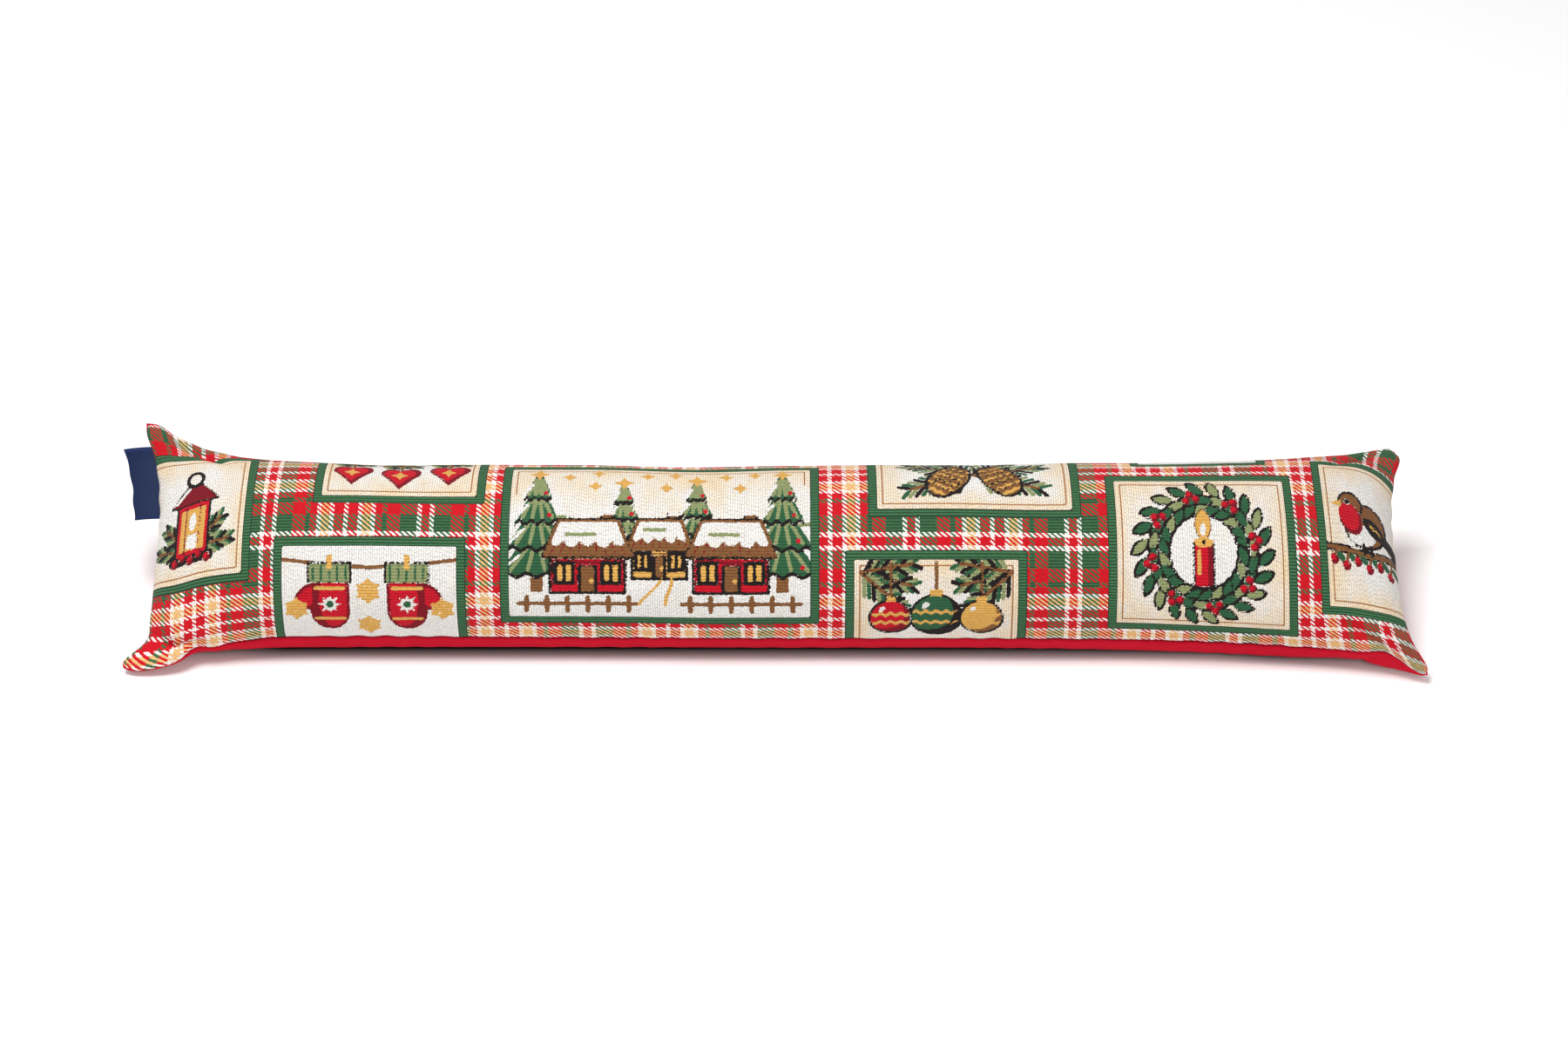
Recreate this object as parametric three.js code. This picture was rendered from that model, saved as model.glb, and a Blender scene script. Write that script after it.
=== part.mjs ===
// Draught excluder: a long, narrow stuffed cushion of two cloth panels sewn together all round.
// It lies on the floor on its plain back panel and leans forward, so that the woven front faces
// up and to the viewer. The four corners stay flat and stand out as ears, and the sides and ends
// are drawn in between them. A folded ribbon tag is caught in the left end seam.
//
// Millimetres, +Z up. X runs along the length, Y from the front edge to the back edge, and the
// origin is on the floor under the middle of the whole part.
import * as THREE from "three";

// Driving dimensions
const FLAT_LENGTH = 900; // the sewn cover laid flat, end seam to end seam
const FLAT_WIDTH = 190; // the sewn cover laid flat, front seam to back seam
const TIP_TO_TIP = 897; // over the corner ears once it is stuffed, before their tips are rounded
const SEAM_HEIGHT = 46; // middle of the sloping seam plane above the floor
const END_PULL = 16; // how far an end seam is drawn in between its two corners
const PULL_FADE = 70; // length over which that pull dies away towards the middle
const CORNER_RADIUS = 10; // rounded tip of each ear
const SEAM_EDGE = 3; // thickness of the sewn edge
const BACK_CLOTH = 1.2; // thickness of the plain back panel
const CLEARANCE = 0.3; // between neighbouring pieces

// The stuffed form, one row for each section across the cushion. "along" is the distance from the
// left end seam on the flat cloth. "front" and "back" are the widths from the middle line to the
// two seams, "crown" and "belly" the heights over and under the seam plane. "round" is 1 where the
// section is an ellipse and 0 where it is a flat lens, and "lean" is the slope of the seam plane.
const SECTIONS = [
  { along: 0, front: 88, back: 106, crown: 0, belly: 0, round: 0, lean: 26 },
  { along: 10, front: 90, back: 104, crown: 12, belly: 10, round: 0.05, lean: 26 },
  { along: 25, front: 88, back: 97, crown: 24, belly: 20, round: 0.2, lean: 26 },
  { along: 50, front: 76, back: 85, crown: 38, belly: 33, round: 0.55, lean: 26 },
  { along: 90, front: 67, back: 73, crown: 48, belly: 43, round: 0.9, lean: 25 },
  { along: 150, front: 65, back: 68, crown: 51, belly: 49, round: 1, lean: 25 },
  { along: 280, front: 66, back: 67, crown: 51, belly: 50, round: 1, lean: 25 },
  { along: 450, front: 67, back: 67, crown: 51, belly: 51, round: 1, lean: 25 },
  { along: 620, front: 67, back: 68, crown: 51, belly: 51, round: 1, lean: 25 },
  { along: 740, front: 69, back: 70, crown: 51, belly: 51, round: 1, lean: 25 },
  { along: 810, front: 74, back: 75, crown: 47, belly: 47, round: 0.95, lean: 24 },
  { along: 850, front: 81, back: 83, crown: 38, belly: 39, round: 0.75, lean: 21 },
  { along: 875, front: 91, back: 92, crown: 26, belly: 28, round: 0.45, lean: 19 },
  { along: 890, front: 97, back: 95, crown: 14, belly: 16, round: 0.2, lean: 18 },
  { along: 900, front: 100, back: 97, crown: 0, belly: 0, round: 0, lean: 18 },
];

// Shape of the drawn-in end seams. A high power keeps the seam straight up to a short ear, and a low
// one lets it sweep out into a broad ear.
const END_SWEEPS = [
  { end: -1, frontPower: 9, backPower: 2 },
  { end: 1, frontPower: 4, backPower: 2 },
];

// Soft troughs in the front cloth, where each ear folds away from the stuffing. "in" is the distance
// from the nearest end seam, "across" runs from -1 at the front seam to 1 at the back seam, and
// "turn" is the trough's direction on the cloth, in degrees from the length.
const EAR_FOLDS = [
  { end: -1, in: 36, across: -0.8, turn: 40, length: 22, width: 9, depth: 8 },
  { end: -1, in: 40, across: 0.78, turn: -38, length: 20, width: 9, depth: 6 },
  { end: 1, in: 42, across: -0.8, turn: -36, length: 20, width: 9, depth: 6 },
  { end: 1, in: 34, across: 0.76, turn: 42, length: 20, width: 9, depth: 7 },
];

// Side tag: a ribbon folded in half, with both cut ends in the left end seam
const TAG_FROM = 0.22; // where it starts on the end seam, on the scale of "across"
const TAG_TO = 0.77;
const TAG_FRONT_REACH = 18; // how far the fold stands out of the seam at the tag's front edge
const TAG_BACK_REACH = 20; // and at its back edge
const TAG_RIBBON = 0.8; // thickness of one layer
const TAG_LAYER_GAP = 0.4; // between the two layers
const TAG_DROOP = 3; // how far the fold hangs below the seam plane

// Fineness of the cloth grids
const HALF_STATIONS = 20; // sections from one end seam to the middle
const STATION_POWER = 1.5; // above 1, the sections crowd towards the ends
const ACROSS_STEPS = 24;
const TAG_STEPS = 8; // along the end seam
const LAYER_STEPS = 3; // out along each layer of the tag
const FOLD_STEPS = 6; // round its fold

// Colours
const TAPESTRY = { color: 0xb4705f, roughness: 0.95, metalness: 0 };
const RED_COTTON = { color: 0xc4122c, roughness: 0.8, metalness: 0 };
const NAVY_SATIN = { color: 0x1f3463, roughness: 0.5, metalness: 0 };

const columns = ["front", "back", "crown", "belly", "round", "lean"];
const sections = new THREE.CubicInterpolant(
  SECTIONS.map((row) => row.along),
  SECTIONS.flatMap((row) => columns.map((name) => row[name])),
  columns.length,
);

// Distance from a point of the cloth to the nearest end seam.
function insetFromEnd(along) {
  return Math.min(along, FLAT_LENGTH - along);
}

// How deep the ear folds press the front cloth in at a point of it.
function foldDepth(along, across) {
  let depth = 0;
  for (const fold of EAR_FOLDS) {
    if (Math.sign(along - FLAT_LENGTH / 2) !== fold.end) continue;
    const turn = THREE.MathUtils.degToRad(fold.turn);
    const dx = fold.end * (fold.in - insetFromEnd(along));
    const dy = ((across - fold.across) * FLAT_WIDTH) / 2;
    const onRun = (dx * Math.cos(turn) + dy * Math.sin(turn)) / fold.length;
    const offRun = (dy * Math.cos(turn) - dx * Math.sin(turn)) / fold.width;
    depth += fold.depth * Math.exp(-onRun * onRun - offRun * offRun);
  }
  return depth;
}

// How far a point near a square cloth corner moves in from the end and from the side, so that the
// tip becomes round.
function cornerTrim(along, across) {
  const fromTip = Math.max(0, CORNER_RADIUS - insetFromEnd(along));
  const fromSide = Math.max(0, CORNER_RADIUS - ((1 - Math.abs(across)) * FLAT_WIDTH) / 2);
  const length = Math.hypot(fromTip, fromSide);
  const keep = length > 0 ? Math.max(fromTip, fromSide) / length : 1;
  return { end: fromTip * (1 - keep), side: fromSide * (1 - keep) };
}

// A point of the cover's outer face. "side" is 1 on the front panel and -1 on the back panel.
function coverPoint(along, across, side) {
  const [front, back, crown, belly, round, lean] = sections.evaluate(along);
  const turn = (across * Math.PI) / 2;
  const widen = round * Math.sin(turn) + (1 - round) * across;
  const swell = Math.max(0, round * Math.cos(turn) + (1 - round) * (1 - across * across));
  const trim = cornerTrim(along, across);

  const end = along < FLAT_LENGTH / 2 ? -1 : 1;
  const sweep = END_SWEEPS.find((row) => row.end === end);
  const power = across < 0 ? sweep.frontPower : sweep.backPower;
  const pull = END_PULL * (1 - Math.abs(across) ** power) * Math.exp(-insetFromEnd(along) / PULL_FADE);
  const x = (along / FLAT_LENGTH - 0.5) * TIP_TO_TIP - end * (pull + trim.end);
  const y = (back - front) / 2 + ((back + front) / 2) * widen - Math.sign(across) * trim.side;
  const height =
    side > 0 ? Math.max(0, crown * swell - foldDepth(along, across)) : belly * swell;

  const point = new THREE.Vector3(x, y, side * (height + SEAM_EDGE / 2));
  point.applyAxisAngle(new THREE.Vector3(1, 0, 0), THREE.MathUtils.degToRad(lean));
  point.z += SEAM_HEIGHT;
  // The stuffing gives way to the floor: the back panel is flat on it, and the front stays above.
  point.z = Math.max(point.z, side > 0 ? SEAM_EDGE : 0);
  return point;
}

// One panel of the cover as a grid of points, finer towards the ends where it changes most.
function panelGrid(side) {
  const leftHalf = Array.from(
    { length: HALF_STATIONS },
    (_, k) => (FLAT_LENGTH / 2) * (k / HALF_STATIONS) ** STATION_POWER,
  );
  const rightHalf = leftHalf.map((along) => FLAT_LENGTH - along).reverse();
  const stations = [...leftHalf, FLAT_LENGTH / 2, ...rightHalf];
  return stations.map((along) =>
    Array.from({ length: ACROSS_STEPS + 1 }, (_, j) =>
      coverPoint(along, (2 * j) / ACROSS_STEPS - 1, side),
    ),
  );
}

// The grid moved by a distance along its own normals, which point up from a grid that runs in +X, +Y.
function offsetGrid(grid, distance) {
  const last = grid.length - 1;
  const lastAcross = grid[0].length - 1;
  return grid.map((row, i) =>
    row.map((point, j) => {
      const onLength = grid[Math.min(i + 1, last)][j].clone().sub(grid[Math.max(i - 1, 0)][j]);
      const onWidth = row[Math.min(j + 1, lastAcross)].clone().sub(row[Math.max(j - 1, 0)]);
      const normal = onLength.cross(onWidth).normalize();
      return point.clone().addScaledVector(normal, distance);
    }),
  );
}

// The closed solid between an upper and a lower face of the same grid.
function slab(upper, lower) {
  const rows = upper.length;
  const width = upper[0].length;
  const top = (i, j) => i * width + j;
  const under = (i, j) => rows * width + i * width + j;
  const index = [];
  const quad = (a, b, c, d) => index.push(a, b, d, b, c, d);
  for (let i = 0; i < rows - 1; i++) {
    for (let j = 0; j < width - 1; j++) {
      quad(top(i, j), top(i + 1, j), top(i + 1, j + 1), top(i, j + 1));
      quad(under(i, j), under(i, j + 1), under(i + 1, j + 1), under(i + 1, j));
    }
    quad(under(i, 0), under(i + 1, 0), top(i + 1, 0), top(i, 0));
    quad(under(i + 1, width - 1), under(i, width - 1), top(i, width - 1), top(i + 1, width - 1));
  }
  for (let j = 0; j < width - 1; j++) {
    quad(under(0, j + 1), under(0, j), top(0, j), top(0, j + 1));
    quad(under(rows - 1, j), under(rows - 1, j + 1), top(rows - 1, j + 1), top(rows - 1, j));
  }
  const geometry = new THREE.BufferGeometry().setFromPoints([...upper.flat(), ...lower.flat()]);
  geometry.setIndex(index);
  geometry.computeVertexNormals();
  return geometry;
}

// The ribbon's middle line from one cut end round the fold to the other, as distances out of the
// seam and over the seam plane.
function ribbonLine(reach) {
  const radius = (TAG_RIBBON + TAG_LAYER_GAP) / 2;
  const straight = reach - radius - TAG_RIBBON / 2;
  const upperLayer = Array.from({ length: LAYER_STEPS }, (_, k) => ({
    out: (k / LAYER_STEPS) * straight,
    over: radius,
  }));
  const fold = Array.from({ length: FOLD_STEPS + 1 }, (_, k) => {
    const turn = (k / FOLD_STEPS - 0.5) * Math.PI;
    return { out: straight + radius * Math.cos(turn), over: -radius * Math.sin(turn) };
  });
  const lowerLayer = upperLayer.map(({ out, over }) => ({ out, over: -over })).reverse();
  return [...upperLayer, ...fold, ...lowerLayer];
}

// The tag's middle surface: a row of points round the fold for each step along the end seam.
function tagGrid() {
  const seamAt = (across) =>
    coverPoint(0, across, 1).lerp(coverPoint(0, across, -1), 0.5);
  const frontFold = seamAt(TAG_FROM).x - TAG_FRONT_REACH;
  const backFold = seamAt(TAG_TO).x - TAG_BACK_REACH;
  const [, , , , , lean] = sections.evaluate(0);
  const over = new THREE.Vector3(0, 0, 1);
  over.applyAxisAngle(new THREE.Vector3(1, 0, 0), THREE.MathUtils.degToRad(lean));
  return Array.from({ length: TAG_STEPS + 1 }, (_, k) => {
    const share = k / TAG_STEPS;
    const seam = seamAt(THREE.MathUtils.lerp(TAG_FROM, TAG_TO, share));
    seam.x -= CLEARANCE;
    const reach = seam.x - THREE.MathUtils.lerp(frontFold, backFold, share);
    return ribbonLine(reach).map((step) => {
      const point = seam.clone().addScaledVector(over, step.over);
      point.x -= step.out;
      point.z -= TAG_DROOP * (step.out / reach) ** 2;
      return point;
    });
  });
}

function piece(name, geometry, finish) {
  const mesh = new THREE.Mesh(geometry, new THREE.MeshStandardMaterial(finish));
  mesh.name = name;
  return mesh;
}

const backFace = panelGrid(-1);
const stuffing = slab(panelGrid(1), offsetGrid(backFace, BACK_CLOTH + CLEARANCE));
const backPanel = slab(offsetGrid(backFace, BACK_CLOTH), backFace);
const tagMiddle = tagGrid();
const tag = slab(offsetGrid(tagMiddle, TAG_RIBBON / 2), offsetGrid(tagMiddle, -TAG_RIBBON / 2));

const excluder = new THREE.Group();
excluder.add(piece("tapestry_cushion", stuffing, TAPESTRY));
excluder.add(piece("back_panel", backPanel, RED_COTTON));
excluder.add(piece("side_tag", tag, NAVY_SATIN));

// Put the origin on the floor under the middle of the whole part.
const middle = new THREE.Box3().setFromObject(excluder).getCenter(new THREE.Vector3());
excluder.children.forEach((mesh) => mesh.position.set(-middle.x, -middle.y, 0));

export default excluder;
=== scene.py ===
# %% [markdown]
# # A tapestry draught excluder
#
# A draught excluder is a long, narrow cushion that lies along the foot of a door. Two strips of
# cloth are sewn together all round, turned right side out and stuffed. The front is a jacquard
# tapestry: framed cream panels with woven motifs, laid over a tartan ground. The back is plain red
# cotton, and a folded ribbon tag is caught in one end seam.
#
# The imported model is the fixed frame. Everything here is in metres in that frame, with X along the
# cushion, Y from its front edge to its back edge, and Z up.

# %% Load the frame
from functools import partial
from math import cos, pi, radians, sin

import bmesh
import bpy
import numpy as np
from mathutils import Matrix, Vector


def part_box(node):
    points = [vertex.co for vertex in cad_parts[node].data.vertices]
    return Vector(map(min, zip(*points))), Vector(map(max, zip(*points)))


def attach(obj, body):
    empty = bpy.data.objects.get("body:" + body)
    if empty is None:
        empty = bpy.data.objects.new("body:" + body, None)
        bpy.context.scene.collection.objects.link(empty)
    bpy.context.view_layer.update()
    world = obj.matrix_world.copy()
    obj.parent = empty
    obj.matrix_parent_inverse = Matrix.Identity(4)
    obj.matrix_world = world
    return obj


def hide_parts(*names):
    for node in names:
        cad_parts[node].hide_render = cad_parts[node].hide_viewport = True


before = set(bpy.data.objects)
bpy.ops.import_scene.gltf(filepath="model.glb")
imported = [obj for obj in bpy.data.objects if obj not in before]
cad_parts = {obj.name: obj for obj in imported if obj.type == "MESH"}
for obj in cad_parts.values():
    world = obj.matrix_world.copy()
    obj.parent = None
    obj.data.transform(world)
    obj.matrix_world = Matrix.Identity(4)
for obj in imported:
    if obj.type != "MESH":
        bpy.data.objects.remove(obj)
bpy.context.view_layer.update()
MM = 0.001
cushion_low, cushion_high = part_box("tapestry_cushion")
cushion_middle = (cushion_low + cushion_high) / 2

# %% [markdown]
# ## Camera, floor and light
#
# The camera looks along the floor's Y axis, 35 degrees above the horizon, with a long lens, so that
# the cushion shows its rounded front and a thin band of its back cloth. It is aimed a little high,
# because the cushion sits low in the frame. The floor is a white board. A soft dark patch is painted
# under the cushion as a painted contact shadow: it deepens the shadow there and keeps the cushion's
# red off the board. Two large soft lamps with a white surround give the even light of a studio
# table.

# %% Camera
VIEW_ELEVATION = radians(35)
VIEW_DISTANCE = 2.4
LENS_MM = 79.2
SENSOR_MM = 36
FRAME_WIDTH = 1800
AIM_BELOW = 38  # pixels of that width by which the aim point lies under the frame's middle
AIM_RIGHT = 6 * MM  # from the middle of the cushion
AIM_HEIGHT = 46 * MM

camera = bpy.data.objects.new("camera", bpy.data.cameras.new("camera"))
camera.data.lens = LENS_MM
camera.data.sensor_width = SENSOR_MM
aim = Vector((cushion_middle.x + AIM_RIGHT, cushion_middle.y, AIM_HEIGHT))
camera.location = aim + VIEW_DISTANCE * Vector((0, -cos(VIEW_ELEVATION), sin(VIEW_ELEVATION)))
raised = AIM_BELOW / FRAME_WIDTH * SENSOR_MM / LENS_MM
camera.rotation_euler = (pi / 2 - VIEW_ELEVATION + raised, 0, 0)
bpy.context.scene.collection.objects.link(camera)
bpy.context.scene.camera = camera
print("camera at", [round(c, 3) for c in camera.location])


# %% Floor
def add_piece(name, shape):
    """Turns a bmesh into an object with smooth faces and links it to the scene."""
    mesh = bpy.data.meshes.new(name)
    shape.to_mesh(mesh)
    shape.free()
    mesh.polygons.foreach_set("use_smooth", [True] * len(mesh.polygons))
    piece = bpy.data.objects.new(name, mesh)
    bpy.context.scene.collection.objects.link(piece)
    return piece


FLOOR_SIZE = 12.0
sheet = bmesh.new()
bmesh.ops.create_grid(sheet, x_segments=1, y_segments=1, size=FLOOR_SIZE / 2)
floor = add_piece("floor", sheet)
print("floor of", FLOOR_SIZE, "m")


# %% Floor material
def linear(hex_colour):
    """A linear RGBA colour from an sRGB hex value such as #C8102A."""
    channels = [int(hex_colour[i : i + 2], 16) / 255 for i in (1, 3, 5)]
    return [c / 12.92 if c <= 0.04045 else ((c + 0.055) / 1.055) ** 2.4 for c in channels] + [1]


def add_node(tree, kind, inputs=(), out=0, **settings):
    """Adds one shader node, fills its inputs with values or links, and returns one output."""
    made = tree.nodes.new("ShaderNode" + kind)
    for name, value in settings.items():
        setattr(made, name, value)
    sockets = inputs if isinstance(inputs, dict) else dict(enumerate(inputs))
    for socket, value in sockets.items():
        if isinstance(value, bpy.types.NodeSocket):
            tree.links.new(value, made.inputs[socket])
        else:
            made.inputs[socket].default_value = value
    return made.outputs[out] if len(made.outputs) else made


def new_material(piece, name):
    """Gives a piece one new material, and returns the helper that adds nodes to it."""
    material = bpy.data.materials.new(name)
    material.use_nodes = True
    material.node_tree.nodes.clear()
    piece.data.materials.clear()
    piece.data.materials.append(material)
    return partial(add_node, material.node_tree)


BOARD_WHITE = "#FBFBFB"
# the dark patch is a painted contact shadow: the board is painted dark under the cushion, where
# shade falls
PAINTED_SHADOW_DARK = "#151515"
PAINTED_SHADOW_HALF = (0.34, 0.046)  # half the length and half the depth of the dark patch
PAINTED_SHADOW_FADE = (0.105, 0.016)  # how far it fades out beyond that
PAINTED_SHADOW_FLARE = (0.3, 0.12)  # from where to the right it grows deeper, and how fast

# a matt board: almost white, without a shine of its own, with a painted contact shadow under the
# cushion
node = new_material(floor, "white studio board with painted shadow")
on_board = node("TexCoord", out="Object")
middle = (cushion_middle.x, cushion_middle.y, 0)
from_middle = node("VectorMath", [on_board, middle], operation="SUBTRACT")
to_right = node("SeparateXYZ", [from_middle])
off_middle = node("VectorMath", [from_middle], operation="ABSOLUTE")
off = node("SeparateXYZ", [off_middle]).node.outputs
flare = node("Math", [to_right, PAINTED_SHADOW_FLARE[0]], operation="SUBTRACT", use_clamp=True)
off_depth = node("Math", [flare, -PAINTED_SHADOW_FLARE[1], off[1]], operation="MULTIPLY_ADD")
faded = []
for place, half, fade in zip((off[0], off_depth), PAINTED_SHADOW_HALF, PAINTED_SHADOW_FADE):
    faded.append(node("MapRange", [place, half, half + fade, 1, 0]))
# how far the painted shadow darkens the board here
in_painted_shadow = node("Math", [faded[0], faded[1]], operation="MULTIPLY")
paints = {0: in_painted_shadow, 6: linear(BOARD_WHITE), 7: linear(PAINTED_SHADOW_DARK)}
paint = node("Mix", paints, 2, data_type="RGBA")
board = node("BsdfPrincipled", {"Base Color": paint, "Roughness": 0.9})
node("OutputMaterial", {"Surface": board})
print("board with a painted shadow of", [2 * half for half in PAINTED_SHADOW_HALF], "m")

# %% Light
SURROUND_STRENGTH = 0.44
# each lamp's name, place, size in metres and power in watts
LAMPS = [
    ("overhead softbox", (-0.65, -0.15, 2.55), 1.3, 62),
    ("front fill", (0.8, -2.4, 1.8), 1.2, 25),
]

scene = bpy.context.scene
scene.view_settings.view_transform = "Standard"
scene.world = bpy.data.worlds.new("white surround")
scene.world.use_nodes = True
surround = scene.world.node_tree.nodes["Background"]
surround.inputs["Color"].default_value = (1, 1, 1, 1)
surround.inputs["Strength"].default_value = SURROUND_STRENGTH
for name, place, size, watts in LAMPS:
    lamp = bpy.data.objects.new(name, bpy.data.lights.new(name, "AREA"))
    lamp.data.size = size
    lamp.data.energy = watts
    lamp.location = place
    lamp.rotation_euler = (cushion_middle - Vector(place)).to_track_quat("-Z", "Y").to_euler()
    scene.collection.objects.link(lamp)
print("white surround and", len(LAMPS), "soft lamps")

# %% [markdown]
# ## The stuffed form
#
# A sewn cover keeps its length and width at the seams, but stuffing rounds its section and draws
# its sides in, and only the four corners stay flat and stand out as ears. The form could be blown
# up from two flat strips alone, but then it would lie as it likes. Here the sections are set first,
# one row for each, to lie on the floor as the real cushion does. The simulation then tightens the
# cloth over that form. The rows repeat the solid's own sections, in millimetres, with a lean in
# degrees. Only the ends and the ears are shaped further here.

# %% Sections of the stuffed form
FLAT_LENGTH = 900.0
FLAT_WIDTH = 190.0
SECTION_COLUMNS = ("along", "front", "back", "crown", "belly", "round", "lean")
SECTIONS = np.array(
    [
        (0, 88, 106, 0, 0, 0.00, 26),
        (10, 90, 104, 12, 10, 0.05, 26),
        (25, 88, 97, 24, 20, 0.20, 26),
        (50, 76, 85, 38, 33, 0.55, 26),
        (90, 67, 73, 48, 43, 0.90, 25),
        (150, 65, 68, 51, 49, 1.00, 25),
        (280, 66, 67, 51, 50, 1.00, 25),
        (450, 67, 67, 51, 51, 1.00, 25),
        (620, 67, 68, 51, 51, 1.00, 25),
        (740, 69, 70, 51, 51, 1.00, 25),
        (810, 74, 75, 47, 47, 0.95, 24),
        (850, 81, 83, 38, 39, 0.75, 21),
        (875, 91, 92, 26, 28, 0.45, 19),
        (890, 97, 95, 14, 16, 0.20, 18),
        (900, 100, 97, 0, 0, 0.00, 18),
    ]
)


def section_value(name, along):
    """A column of the table at any place along the cloth, on a smooth curve through its rows."""
    x = SECTIONS[:, 0]
    y = SECTIONS[:, SECTION_COLUMNS.index(name)]
    slope = np.diff(y) / np.diff(x)
    tangent = np.concatenate([slope[:1], (slope[1:] + slope[:-1]) / 2, slope[-1:]])
    i = np.clip(np.searchsorted(x, along, side="right") - 1, 0, len(x) - 2)
    step = x[i + 1] - x[i]
    t = (along - x[i]) / step
    start = (2 * t**3 - 3 * t**2 + 1) * y[i] + (t**3 - 2 * t**2 + t) * step * tangent[i]
    return start + (3 * t**2 - 2 * t**3) * y[i + 1] + (t**3 - t**2) * step * tangent[i + 1]


middle_crown = section_value("crown", np.array([FLAT_LENGTH / 2]))[0]
print(len(SECTIONS), "sections, crown of", round(middle_crown, 1), "mm in the middle")

# %% Form between the seams
TIP_TO_TIP = 897.0
SEAM_HEIGHT = 46.0
SEAM_EDGE = 3.0
CORNER_RADIUS = 15.0
END_PULL = 16.0  # how far the filling draws the end seams in
PULL_FADE = 70.0
FRONT_SWEEP, BACK_SWEEP = 4, 2  # the higher this power, the later the pull fades towards an ear
TINY = 1e-9  # keeps a division from failing


def seam_distance(along, across):
    """Distance on the cloth to the nearest end seam and to the nearest long seam."""
    return np.minimum(along, FLAT_LENGTH - along), (1 - np.abs(across)) * FLAT_WIDTH / 2


def stuffed_form(along, across, side):
    """Points of the cover in metres. across runs from -1 to 1, and side is 1 on the front panel."""
    front, back, crown, belly, full, lean = (section_value(c, along) for c in SECTION_COLUMNS[1:])
    from_end, from_side = seam_distance(along, across)
    turn = across * pi / 2
    widen = full * np.sin(turn) + (1 - full) * across
    swell = np.maximum(0, full * np.cos(turn) + (1 - full) * (1 - across**2))

    into_tip = np.maximum(0, CORNER_RADIUS - from_end)
    into_side = np.maximum(0, CORNER_RADIUS - from_side)
    reach = np.hypot(into_tip, into_side)
    trim = 1 - np.where(reach > 0, np.maximum(into_tip, into_side) / np.maximum(reach, TINY), 1)

    left = along < FLAT_LENGTH / 2
    sweep = np.abs(across) ** np.where(across < 0, FRONT_SWEEP, BACK_SWEEP)
    # the left front ear is a lobe of its own, so there the pull goes on up to the corner
    flare = np.where(left & (across < 0), 0, sweep)
    pull = END_PULL * (1 - flare) * np.exp(-from_end / PULL_FADE)
    x = (along / FLAT_LENGTH - 0.5) * TIP_TO_TIP + np.where(left, 1, -1) * (pull + into_tip * trim)
    y = (back - front) / 2 + (back + front) / 2 * widen - np.sign(across) * into_side * trim
    edge = SEAM_EDGE / 2 * (1 - np.exp(-np.minimum(from_end, from_side) / SEAM_EDGE))
    z = side * (np.where(side > 0, crown, belly) * swell + edge)

    slope = np.radians(lean)
    height = SEAM_HEIGHT + y * np.sin(slope) + z * np.cos(slope)
    depth = y * np.cos(slope) - z * np.sin(slope)
    return np.stack([x, depth, np.maximum(height, np.where(side > 0, SEAM_EDGE / 2, 0))], 1) * MM


top = stuffed_form(np.array([FLAT_LENGTH / 2]), np.zeros(1), np.ones(1))[0]
print("crown of the middle section at", [round(float(c) / MM, 1) for c in top], "mm")

# %% [markdown]
# ## The sewn cover
#
# The cover starts as a flat grid, doubled and welded along its rim, as two strips are sewn
# together. Each vertex keeps its place on the flat cloth in a UV map, because the weave follows the
# cloth and not the form. Both sides of that map are divided by the length, so one unit is 900 mm
# either way.

# %% Sew the two panels
CELLS_ALONG, CELLS_ACROSS = 140, 32
FRONT, BACK = 0, 1  # material slots that tell the panels apart
WELD = 1e-6


def sewn_cover():
    """A closed cover of two welded flat grids, with its places on the cloth in UVs."""
    cover = bmesh.new()
    uv = cover.loops.layers.uv.new("cloth")
    bmesh.ops.create_grid(cover, x_segments=CELLS_ALONG, y_segments=CELLS_ACROSS, size=1)
    made = bmesh.ops.duplicate(cover, geom=cover.verts[:] + cover.edges[:] + cover.faces[:])
    under = [item for item in made["geom"] if isinstance(item, bmesh.types.BMFace)]
    bmesh.ops.reverse_faces(cover, faces=under)
    for face in under:
        face.material_index = BACK
    for face in cover.faces:
        for loop in face.loops:
            x, y, _ = loop.vert.co
            loop[uv].uv = ((x + 1) / 2, (y + 1) / 2 * FLAT_WIDTH / FLAT_LENGTH)
    rim = [v for v in cover.verts if v.is_boundary]
    bmesh.ops.remove_doubles(cover, verts=rim, dist=WELD)
    return add_piece("sewn_cover", cover)


def get(items, name, width):
    """One property of all the items of a mesh as an array with a row for each."""
    values = np.empty(len(items) * width, np.float32)
    items.foreach_get(name, values)
    return values.reshape(-1, width).astype(float)


cover = sewn_cover()
flat = get(cover.data.vertices, "co", 3)
cover_along = (flat[:, 0] + 1) * FLAT_LENGTH / 2
cover_across = flat[:, 1]
on_rim = np.maximum(np.abs(flat[:, 0]), np.abs(flat[:, 1])) > 1 - WELD
cover_side = np.ones(len(flat))
for face in cover.data.polygons:
    if face.material_index == BACK:
        cover_side[list(face.vertices)] = -1
cover_side[on_rim] = 1
print("sewn cover:", len(cover.data.polygons), "faces,", on_rim.sum(), "vertices in the seam")

# %% Lay it over the form
# each row's end and edge, how far it reaches into the cloth, and its move, in millimetres;
# the second row of an ear blunts its tip
EARS = [
    (-1, -1, 17, (-19, 0, -5)),
    (-1, 1, 25, (-4, 2, 6)),
    (1, -1, 25, (7, 2, -10)),
    (1, -1, 10, (-4, 1, 1)),
    (1, 1, 25, (3, 1, 3)),
    (1, 1, 12, (-5, -2, -1)),
]
EAR_NECK = 6  # the higher this power, the more sharply an ear parts from the body
# where the front seam is gathered beside an ear: the end, the distance to it and the move
PLEATS = [(-1, 42, (0, 4, 4)), (1, 32, (0, 4, 5))]
PLEAT_FADE = 9.0


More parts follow.
